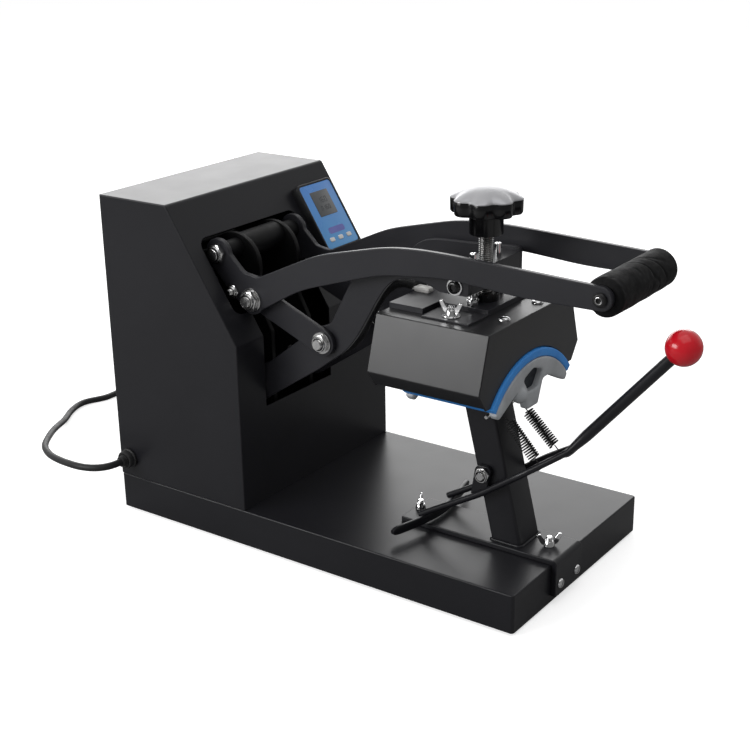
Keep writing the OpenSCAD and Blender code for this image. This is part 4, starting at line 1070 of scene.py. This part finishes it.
def buildLever():
    look = leverLook
    start, end = Vector(look["gripStart"]), Vector(look["joint"])
    along = (end - start).normalized()
    wide = Vector((1, 0, 0))
    thick = along.cross(wide)
    r = look["tubeRadius"]
    length = (end - start).length
    # Distance along the tube, half width and half thickness: it is pressed flat towards the rods
    stations = [(-1.0, r, r), (length - 34, r, r), (length - 22, r + 0.4, r), (length - 12, r + 2.2, r - 0.6),
                (length - 5, r + 4.6, r - 1.2), (length + 1.5, r + 5.4, r - 1.2), (length + 4, r + 5.2, r - 1.5)]
    shell = bmesh.new()
    addRings(shell, [hoop(start + along * s, wide * w, thick * t, 1, 32) for s, w, t in stations], mechPlace)
    ears = []
    for side in (-1, 1):
        rod = [(side * x, y, z) for x, y, z in look["rod"]]
        addRings(shell, pathRings(bentPath(rod, look["bend"]), look["rodRadius"], 20), mechPlace)
        edges = sorted((side * look["earIn"], side * look["earOut"]))
        ears.append(roundEdges(stacked("ear", [upright(roundedOutline(look["ear"], 6), x) for x in edges],
                                       mechPlace, "powderCoat", 35), 0.5))
    tube = makePiece("leverTube", shell, finish["powderCoat"], 40)
    bow = smoothPath([(x, y, look["bowZ"]) for x, y in look["bow"]], 6)
    rings = []
    for i, point in enumerate(bow):
        run = (bow[min(i + 1, len(bow) - 1)] - bow[max(i - 1, 0)]).normalized()
        share = dict(enumerate(look["bowEnds"])).get(min(i, len(bow) - 1 - i), 1.0)
        rings.append([point + run.cross(upward) * u + upward * v for u, v in boxOutline(
            2 * look["bowThick"], 2 * look["bowHigh"] * share, 1.5, 0, 0, 4)])
    bow = stacked("bow", rings, mechPlace, "powderCoat", 45)
    settle(joinPieces("lever_frame_bent", [tube, *ears, bow]), "lever_frame")

    radius = look["ballRadius"]
    neck = asin((r + 0.9) / radius)
    profile = [(r + 0.2, -radius * cos(neck) + 0.8), (r + 0.3, -radius * cos(neck) + 0.05)]
    for k in range(25):
        a = -pi / 2 + neck + (pi - neck) * k / 24
        profile.append((max(0.02, radius * cos(a)), radius * sin(a)))
    settle(stacked("lever_ball_moulded", turned(profile, 56), aimed(mechPoint(*look["ballAt"]), -along), "redBall",
                   50), "lever_ball")


# Cap form: the silicone pad and the casting under it

archLook = {"z": 131.7, "padOuter": 86.0, "padInner": 78.5, "padHalf": 51.0, "padFront": 35.0, "padLength": 90.0,
            "padEdge": 1.5, "padSteps": 72, "castVoxel": 1.15, "webAt": (40.5, 42.0),
            "web": [(-20, 199), (-9, 181), (9, 181), (20, 199), (12, 207), (0, 209), (-12, 207)]}


def buildCapForm():
    look = archLook
    inner, outer, length = look["padInner"], look["padOuter"], look["padLength"]
    section = boxOutline(length, outer - inner, look["padEdge"], look["padFront"] + length / 2, (inner + outer) / 2, 4)
    rings = []
    for k in range(look["padSteps"] + 1):
        a = radians(look["padHalf"] * (1 - 2 * k / look["padSteps"]))
        rings.append([(-r * sin(a), y, r * cos(a)) for y, r in section])
    settle(stacked("silicone_pad_moulded", rings, standing(0, 0, look["z"]), "silicone"), "silicone_pad")
    casting = makePiece("castBody", mergedCopy("pad_casting"), finish["castAluminium"], smooth=0)
    voxels = casting.modifiers.new("soften", "REMESH")
    voxels.mode = "VOXEL"
    voxels.voxel_size = look["castVoxel"] / 1000
    voxels.use_smooth_shade = True
    relax = casting.modifiers.new("relax", "SMOOTH")
    relax.factor = 0.5
    relax.iterations = 6
    bakeModifiers(casting)
    smoothFaces(casting)
    # A web closes the casting's hole into a pocket; its near-black finish is painted shade
    web = stacked("castWeb", [[(x, y, z) for x, z in look["web"]] for y in look["webAt"]], mechPlace, "castPocket", 35)
    settle(joinPieces("pad_casting_cast", [casting, web]), "pad_casting")


buildLever()
buildCapForm()
print("cap lever and cap form")

# Geometry Nodes: springs, the screw's thread, the cable's braid, rear screws and feet

socketKinds = {float: "Float", int: "Int", bpy.types.Object: "Object", bpy.types.Material: "Material"}


def grow(name, build, material, values):
    # One tree with a named input for each value, evaluated to a plain mesh
    tree = bpy.data.node_groups.new(build.__name__, "GeometryNodeTree")
    tree.interface.new_socket("Geometry", in_out="OUTPUT", socket_type="NodeSocketGeometry")
    values = dict(values, Material=finish[material])
    names = {}
    for label, value in values.items():
        kind = next(word for base, word in socketKinds.items() if isinstance(value, base))
        names[label] = tree.interface.new_socket(label, in_out="INPUT", socket_type="NodeSocket" + kind).identifier
    given = addNode(tree, "NodeGroupInput").outputs
    real = addNode(tree, "GeometryNodeRealizeInstances", {0: build(tree, given)})
    dressed = addNode(tree, "GeometryNodeSetMaterial", {"Geometry": real.outputs[0], "Material": given["Material"]})
    addNode(tree, "NodeGroupOutput", {0: dressed.outputs[0]})
    piece = newObject(name, bpy.data.meshes.new(name))
    maker = piece.modifiers.new("maker", "NODES")
    maker.node_group = tree
    for label, value in values.items():
        maker[names[label]] = value
    bakeModifiers(piece)
    return smoothFaces(piece)


def tubeAlong(tree, curve, sides, radius):
    ring = addNode(tree, "GeometryNodeCurvePrimitiveCircle", {"Resolution": sides, "Radius": radius}).outputs[0]
    return addNode(tree, "GeometryNodeCurveToMesh", {
        "Curve": curve, "Profile Curve": ring, "Fill Caps": True}).outputs[0]


def coilSpring(tree, given):
    coil = addNode(tree, "GeometryNodeCurveSpiral", {
        "Resolution": 18, "Rotations": given["Turns"], "Start Radius": given["Coil radius"],
        "End Radius": given["Coil radius"], "Height": given["Length"]})
    return tubeAlong(tree, coil.outputs[0], 6, given["Wire radius"])


# Hooks as offsets in mm: the low one from the spring's foot, the high one from the spring bar
springLook = {"turns": 17.0, "coilRadius": 4.9, "wireRadius": 0.65, "foot": (17.6, 18.0, 124.6),
              "top": (15.5, 50.0, 157.0), "coilFrom": 6.0, "coilTo": 2.5, "hookRadius": 0.55,
              "lowHook": [(0, -1.56, -3.72), (1.4, 0.6, -5.6)], "bar": (21, 64.0, 159.0),
              "highHook": [(-2, -6, 1.6), (0, 2.4, 2.5), (0, 5, 0), (0, 2.2, -2.3)]}


def buildSprings():
    look = springLook
    for side, word in ((-1, "left"), (1, "right")):
        mirror = Vector((side, 1, 1))
        foot, top, rest = (Vector(look[key]) * mirror for key in ("foot", "top", "bar"))
        axis = (top - foot).normalized()
        low, high = foot + axis * look["coilFrom"], top - axis * look["coilTo"]
        spring = grow("coil", coilSpring, "springSteel", {
            "Turns": look["turns"], "Coil radius": look["coilRadius"] / 1000,
            "Wire radius": look["wireRadius"] / 1000, "Length": (high - low).length / 1000})
        spring.data.transform(aimed(mechPoint(*low), axis) @ metre)
        hooks = bmesh.new()
        for path in ([low, foot + axis * 2, foot] + [foot + Vector(p) * mirror for p in look["lowHook"]],
                     [high, top] + [rest + Vector(p) * mirror for p in look["highHook"]]):
            addRings(hooks, pathRings(smoothPath(path, 4), look["hookRadius"], 8), mechPlace)
        piece = joinPieces("spring_%s_coil" % word, [spring, makePiece("hooks", hooks, finish["springSteel"], 60)])
        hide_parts("spring_" + word)
        tuple(mechPoint(*foot))
        tuple(mechPoint(*top))
        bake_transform(piece)


def screwThread(tree, given):
    rod = addNode(tree, "GeometryNodeMeshCylinder", {
        "Vertices": 36, "Side Segments": given["Rows"], "Radius": given["Radius"], "Depth": given["Length"]},
        fill_type="NGON")
    spot = addNode(tree, "ShaderNodeSeparateXYZ", {0: addNode(tree, "GeometryNodeInputPosition").outputs[0]}).outputs
    turn = calc(tree, "DIVIDE", calc(tree, "ARCTAN2", spot["Y"], spot["X"]), tau)
    phase = calc(tree, "FRACT", calc(tree, "ADD", calc(tree, "SUBTRACT", calc(
        tree, "DIVIDE", spot["Z"], given["Pitch"]), turn), 100.0))
    ridge = calc(tree, "PINGPONG", calc(tree, "MULTIPLY", phase, 2.0), 1.0)
    cut = calc(tree, "MULTIPLY", calc(tree, "SUBTRACT", 1.0, calc(tree, "SMOOTH_MIN", calc(
        tree, "MULTIPLY", ridge, 1.5), 1.0, 0.1)), given["Depth"])
    shrink = calc(tree, "DIVIDE", calc(tree, "SUBTRACT", given["Radius"], cut), given["Radius"])
    flat = addNode(tree, "ShaderNodeCombineXYZ", {
        0: calc(tree, "MULTIPLY", spot["X"], shrink), 1: calc(tree, "MULTIPLY", spot["Y"], shrink),
        2: spot["Z"]})
    return addNode(tree, "GeometryNodeSetPosition", {
        "Geometry": rod.outputs["Mesh"], "Position": flat.outputs[0]}).outputs[0]


rodLook = {"radius": 6.2, "pitch": 1.75, "depth": 0.75, "low": 256.3, "high": 336.7, "y": 83.5, "rows": 322}


def buildThreadedRod():
    radius, pitch, depth, low, high, y, rows = rodLook.values()
    rod = grow("threaded_rod_cut", screwThread, "threadSteel", {
        "Radius": radius / 1000, "Length": (high - low) / 1000, "Pitch": pitch / 1000, "Depth": depth / 1000,
        "Rows": rows})
    rod.data.transform(Matrix.Translation(mechPoint(0, y, (low + high) / 2)))
    settle(rod, "threaded_rod")


cableLook = {
    "radius": 3.9, "wires": (((5.5, 1.5, 3.0), 1.3), ((-4.5, 2.0, 4.2), 1.1)),
    "strands": 20, "strandRadius": 0.34, "turnLength": 17.0,
    "points": [(-10, 147.8, 259.5), (-9, 160, 260), (-7, 173, 255.5), (-5, 187, 243), (-3, 202, 221),
               (-1, 217, 196), (0, 237, 180), (0, 262, 172), (0, 285, 170), (0, 300, 169)],
}


def cableBraid(tree, given):
    path = addNode(tree, "GeometryNodeObjectInfo", {"Object": given["Path"]}).outputs["Geometry"]
    even = addNode(tree, "GeometryNodeResampleCurve", {"Curve": path, "Count": 260}).outputs[0]
    copies = addNode(tree, "GeometryNodeDuplicateElements", {"Geometry": even, "Amount": given["Strands"]},
                     domain="SPLINE")
    share = calc(tree, "DIVIDE", copies.outputs["Duplicate Index"], given["Strands"])
    run = addNode(tree, "GeometryNodeSplineParameter").outputs["Factor"]
    way = calc(tree, "SUBTRACT", calc(tree, "MULTIPLY", calc(
        tree, "FLOORED_MODULO", copies.outputs["Duplicate Index"], 2.0), 2.0), 1.0)
    angle = calc(tree, "MULTIPLY", calc(tree, "ADD", share, calc(
        tree, "MULTIPLY", calc(tree, "MULTIPLY", run, given["Turns"]), way)), tau)
    swung = addNode(tree, "ShaderNodeVectorRotate", {
        "Vector": addNode(tree, "GeometryNodeInputNormal").outputs[0],
        "Axis": addNode(tree, "GeometryNodeInputTangent").outputs[0], "Angle": angle},
        rotation_type="AXIS_ANGLE").outputs[0]
    offset = addNode(tree, "ShaderNodeVectorMath", {0: swung, "Scale": given["Radius"]}, operation="SCALE").outputs[0]
    moved = addNode(tree, "GeometryNodeSetPosition", {"Geometry": copies.outputs["Geometry"], "Offset": offset})
    return tubeAlong(tree, moved.outputs[0], 5, given["Strand radius"])


def buildCable():
    look = cableLook
    path = [mechPoint(*p) for p in smoothPath(look["points"], 6)]
    length = sum((b - a).length for a, b in zip(path, path[1:]))
    curve = bpy.data.curves.new("cablePath", "CURVE")
    curve.dimensions = "3D"
    spline = curve.splines.new("POLY")
    spline.points.add(len(path) - 1)
    for point, spot in zip(spline.points, path):
        point.co = (*spot, 1)
    guide = newObject("cablePath", curve)
    braid = grow("braid", cableBraid, "braid", {
        "Strands": look["strands"], "Radius": look["radius"] / 1000, "Strand radius": look["strandRadius"] / 1000,
        "Turns": length * 1000 / look["turnLength"], "Path": guide})
    bpy.data.objects.remove(guide)
    core = stacked("core", pathRings(path, (look["radius"] - 0.15) / 1000, 16), Matrix(), "rubber", 60)
    wires = bmesh.new()
    for shift, radius in look["wires"]:
        loose = [p + Vector(shift) / 1000 * min(1.0, 4 * i / len(path), 2.4 * (1 - i / (len(path) - 1)))
                 for i, p in enumerate(path)]
        addRings(wires, pathRings(loose, radius / 1000, 10), Matrix())
    cable = joinPieces("heater_cable_braided", [braid, core, makePiece("wires", wires, finish["rubber"], 60)])
    settle(cable, "heater_cable")


connectorLook = {"at": (-10, 139.5, 256), "size": (9, 15, 4.2), "corner": 1.2, "crimp": 1.5, "crimpX": 2.2}


def buildConnector():
    look = connectorLook
    width, length, high = look["size"]
    place = standing(*look["at"])
    shell = bmesh.new()
    addRings(shell, [level(boxOutline(width - 2 * inset, length - 2 * inset, look["corner"], 0, 0, 4), z)
                     for inset, z in ((0.3, 0), (0, 0.3), (0, high - 0.5), (0.5, high))], place)
    for x in (-look["crimpX"], look["crimpX"]):
        addRings(shell, [hoop(Vector((x, y, high / 2)), Vector((1, 0, 0)), upward, look["crimp"], 12)
                         for y in (length / 2 - 0.5, length / 2 + 2.5)], place)
    settle(makePiece("cable_connector_moulded", shell, finish["whiteNylon"], 50), "cable_connector")


def rowsOfParts(tree, given):
    grid = addNode(tree, "GeometryNodeMeshGrid", {
        "Size X": given["Width"], "Size Y": given["Length"], "Vertices X": given["Columns"],
        "Vertices Y": given["Rows"]})
    points = addNode(tree, "GeometryNodeMeshToPoints", {"Mesh": grid.outputs["Mesh"]})
    item = addNode(tree, "GeometryNodeObjectInfo", {"Object": given["Template"]}).outputs["Geometry"]
    return addNode(tree, "GeometryNodeInstanceOnPoints", {"Points": points.outputs[0], "Instance": item}).outputs[0]


def growRows(name, template, rows, width, length, material, place):
    piece = grow(name, rowsOfParts, material, {
        "Template": template, "Columns": 2, "Rows": rows, "Width": width, "Length": length})
    piece.data.transform(place)
    bpy.data.objects.remove(template)
    return piece


rearScrews = {"headRadius": 4.2, "headHeight": 1.8, "slot": 0.9}
louvreLook = {"wide": 66.0, "rows": 10, "apart": 90.0, "lowZ": 165.0, "pitch": 11.0, "y": 449.9, "endThick": 0.8,
              "outside": [(-5.2, 0), (-4.2, 1.0), (-1.5, 2.5), (1.5, 3.2), (3.6, 3.3)],
              "inside": [(3.6, 2.5), (1.4, 2.4), (-1.2, 1.8), (-3.4, 0)], "end": [(3.6, 0)]}
footLook = {"radius": 10.0, "profile": [(-1.6, 0), (-0.5, 0.25), (0, 0.9), (0, 2.99)]}


def buildRows():
    rearward = spun(-90, "X")
    radius, height, slot = rearScrews.values()
    low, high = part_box("rear_cover_screws")
    centre = Vector(((low[0] + high[0]) / 2, high[1] - height / 1000, (low[2] + high[2]) / 2))
    settle(growRows("rear_cover_screws_turned", slottedHead(radius, height, True, "zinc", slot), 3,
                    high[0] - low[0] - 2 * radius / 1000, high[2] - low[2] - 2 * radius / 1000, "zinc",
                    Matrix.Translation(centre) @ rearward), "rear_cover_screws")
    look = louvreLook
    half, tall = look["wide"] / 2, look["pitch"] * (look["rows"] - 1)
    shell = bmesh.new()
    addRings(shell, [upright(look["outside"] + look["inside"], x) for x in (-half, half)])
    for side in (-1, 1):
        addRings(shell, [upright(look["outside"] + look["end"], x)
                         for x in (side * (half - look["endThick"]), side * half)])
    hoods = growRows("rear_louvres", makePiece("hood", shell, finish["powderCoat"], 30), look["rows"],
                     look["apart"] / 1000, tall / 1000, "powderCoat",
                     Matrix.Translation(basePoint(0, look["y"], look["lowZ"] + tall / 2)) @ rearward)
    rideBase(hoods)
    low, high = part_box("feet")
    r = footLook["radius"]
    foot = stacked("foot", turned([(r + inset, z) for inset, z in footLook["profile"]], 40), millimetre, "rubber")
    settle(growRows("feet_moulded", foot, 2, high[0] - low[0] - 2 * r / 1000, high[1] - low[1] - 2 * r / 1000,
                    "rubber", Matrix.Translation(((low[0] + high[0]) / 2, (low[1] + high[1]) / 2, low[2]))), "feet")


buildSprings()
buildThreadedRod()
buildCable()
buildConnector()
buildRows()
print("springs, thread, braid, rear screws and feet")

# Controller: display marks, a printed band and the buttons

panelLook = {"x": 76.8, "s": 85.9, "bendZ": 198.5, "frontY": 289.6, "angle": 57.5, "high": 9.2, "recess": 1.2,
             "face": 0.8, "width": 54.0, "height": 73.0, "corner": 5.0, "rim": 2.3, "glass": (27.5, 26.5),
             "glassAt": 12.5, "glassHigh": 0.4, "rows": (("160", 16.0, 5.4), ("0160", 7.5, 4.2)), "digitGap": 1.75,
             "digitWide": 0.52, "stroke": 0.6, "band": (25, 6.5, 2.5), "bandAt": (0, -16.5), "button": (7.2, 4.4, 1.5),
             "buttonPitch": 13.5, "buttonS": -25.5}


def panelMatrix(x, s, lift):
    look = panelLook
    a = radians(look["angle"])
    right, up = Vector((1, 0, 0)), Vector((0, cos(a), sin(a)))
    origin = basePoint(look["x"], look["frontY"] + look["s"] * up.y, look["bendZ"] + look["s"] * up.z)
    turn = Matrix((right, up, right.cross(up))).transposed().to_4x4()
    return Matrix.Translation(origin) @ turn @ millimetre @ Matrix.Translation((x, s, lift))


# Each bar of a digit: its place across and up as shares of the digit, and whether it lies flat
segmentBars = {"a": (0.5, 1.0, 1), "b": (1.0, 0.75, 0), "c": (1.0, 0.25, 0), "d": (0.5, 0.0, 1), "e": (0.0, 0.25, 0),
               "f": (0.0, 0.75, 0), "g": (0.5, 0.5, 1)}
digitBars = {"0": "abcdef", "1": "bc", "6": "acdefg"}


def panelBlock(name, finishName, node, size, low, high, x=0.0, y=0.0, edge=0.25):
    width, height, corner = size
    rings = [level(boxOutline(width - 2 * inset, height - 2 * inset, max(0.3, corner - inset), x, y, 5), z)
             for inset, z in ((0, low), (0, high - edge), (edge * 0.3, high - edge * 0.3), (edge, high))]
    settle(stacked(name, rings, panelMatrix(0, 0, 0), finishName, 50), node)


def buildPanel():
    look = panelLook
    width, height, rim, high = look["width"], look["height"], look["rim"], look["high"]
    top = high - look["recess"] + look["face"]
    glassTop = top + look["glassHigh"]
    walls = [level(boxOutline(width - 2 * inset, height - 2 * inset, look["corner"] - 0.6 * inset, 0, 0, 6), z)
             for inset, z in ((0, 0), (0, high - 0.9), (0.3, high - 0.25), (0.9, high), (rim - 0.3, high),
                              (rim, high - 0.25), (rim, 0.2))]
    settle(stacked("controller_box_moulded", walls, panelMatrix(0, 0, 0), "boxPlastic", 50, closed=True),
           "controller_box")
    panelBlock("controller_face_printed", "bluePanel", "controller_face",
               (width - 2 * rim - 0.3, height - 2 * rim - 0.3, 3.4), top - look["face"] - 0.02, top)
    panelBlock("controller_glass", "display", "controller_display", (*look["glass"], 1.0), top - 0.05, glassTop,
               0, look["glassAt"], 0.2)
    shell = bmesh.new()
    for digits, s, h in look["rows"]:
        w = h * look["digitWide"]
        for k, digit in enumerate(digits):
            x0 = (k - (len(digits) - 1) / 2) * w * look["digitGap"] - w / 2
            for u, v, flat in (segmentBars[bar] for bar in digitBars[digit]):
                x, y = (w / 2, look["stroke"] / 2) if flat else (look["stroke"] / 2, h / 4)
                addPlate(shell, [(-x, -y), (x, -y), (x, y), (-x, y)], 0.06,
                         panelMatrix(x0 + u * w, s + (v - 0.5) * h, glassTop - 0.01))
    rideBase(makePiece("controller_digits", shell, finish["displayMark"], smooth=0))
    band = bmesh.new()
    addPlate(band, boxOutline(*look["band"]), 0.05, panelMatrix(*look["bandAt"], top))
    rideBase(makePiece("controller_band", band, finish["violetBand"], smooth=0))
    for word, i in (("left", -1), ("middle", 0), ("right", 1)):
        panelBlock("button_%s_moulded" % word, "whiteNylon", "button_" + word, look["button"], top - 2.0, high + 0.4,
                   i * look["buttonPitch"], look["buttonS"], 0.6)


buildPanel()
print("controller panel")

# Gland and plug

glandLook = {
    "at": (-116.3, 437.0, 54.8), "bore": 3.62, "tip": 13.7, "ribs": 3, "ribPitch": 1.6,
    "collar": [(3.62, 0), (9.6, 0), (10.0, 0.5), (10.0, 2.2), (9.4, 2.9), (8.9, 3.1), (8.9, 7.4), (8.3, 8.4),
               (7.2, 8.6), (6.6, 8.1), (3.62, 8.1)],
    "neck": [(5.9, -10), (5.9, 0.2), (3.62, 0.2), (3.62, -10)],
    "lockRing": [(8.4, -5.4), (8.4, -1.6), (5.8, -1.6), (5.8, -5.4)],
}


def buildGland():
    look = glandLook
    spot = aimed(basePoint(*look["at"]), (-1, 0, 0), 15)
    ribbed = [(look["bore"], 7.9), (6.2, 7.9)]
    for k in range(look["ribs"]):
        z, r = 8.8 + k * look["ribPitch"], 6.1 - k * 0.4
        ribbed += [(r, z), (r, z + 0.7), (r - 0.7, z + 0.9), (r - 0.7, z + 1.5)]
    ribbed += [(4.4, look["tip"]), (look["bore"], look["tip"])]
    shell = bmesh.new()
    for profile, sides in ((look["collar"], 48), (ribbed, 36), (look["neck"], 28), (look["lockRing"], 28)):
        addRings(shell, turned(profile, sides), spot, closed=True)
    return settle(makePiece("cord_gland_moulded", shell, finish["rubber"], 40), "cord_gland")


plugLook = {"at": (60.3, 475, 7), "neck": 8.0, "body": (26, 24, 20),
            "flatPins": (6.3, 1.5, 6.3, 17.0), "roundPin": (2.3, 19.0, -5)}


def buildPlug():
    look = plugLook
    length, wide, tall = look["body"]
    flip = Matrix.Translation(basePoint(*look["at"])) @ Matrix(
        ((0, 0, 1, 0), (1, 0, 0, 0), (0, 1, 0, 0), (0, 0, 0, 1))) @ millimetre
    neck, face = look["neck"], look["neck"] + length
    # Distance along the plug, width, height and corner
    stations = ((0, 8, 8, 3.9), (neck * 0.6, 13, 12, 5.5), (neck, wide - 3, tall - 3, 5), (neck + 2, wide, tall, 5),
                (face - 4, wide, tall, 5), (face - 1, wide - 1, tall - 1, 4.5), (face, wide - 3, tall - 3, 4))
    body = stacked("plugBody", [level(boxOutline(w, t, corner, 0, 0, 6), s) for s, w, t, corner in stations], flip,
                   "rubber")
    pins = bmesh.new()
    off, thick, tallPin, reach = look["flatPins"]
    for u in (-off, off):
        addPlate(pins, boxOutline(thick, tallPin, 0.4, u, tallPin / 2 - 1, 2), reach,
                 flip @ Matrix.Translation((0, 0, face)))
    radius, reach, drop = look["roundPin"]
    addRings(pins, turned([(radius, 0), (radius, reach - 1), (radius - 0.8, reach)], 24),
             flip @ Matrix.Translation((0, drop, face)))
    return settle(joinPieces("mains_plug_moulded", [body, makePiece("plugPins", pins, finish["zinc"], 40)]),
                  "mains_plug")


glandPiece = buildGland()
plugPiece = buildPlug()
print("gland and plug")

# Parts that keep their own mesh
carried = {
    # base_bottom takes the near-black inner finish, which is painted shade
    "base_bottom": "innerSteel", "grip_tube": "zinc", "heater_element": "heaterFoil", "thrust_boss": "knobPlastic",
}
for partName, finishName in carried.items():
    slots = nodes[partName].data.materials
    slots.clear()
    slots.append(finish[finishName])
print("finishes on %d carried parts" % len(carried))

tuple(cordPath[0])
[tuple(p) for p in cordPath]
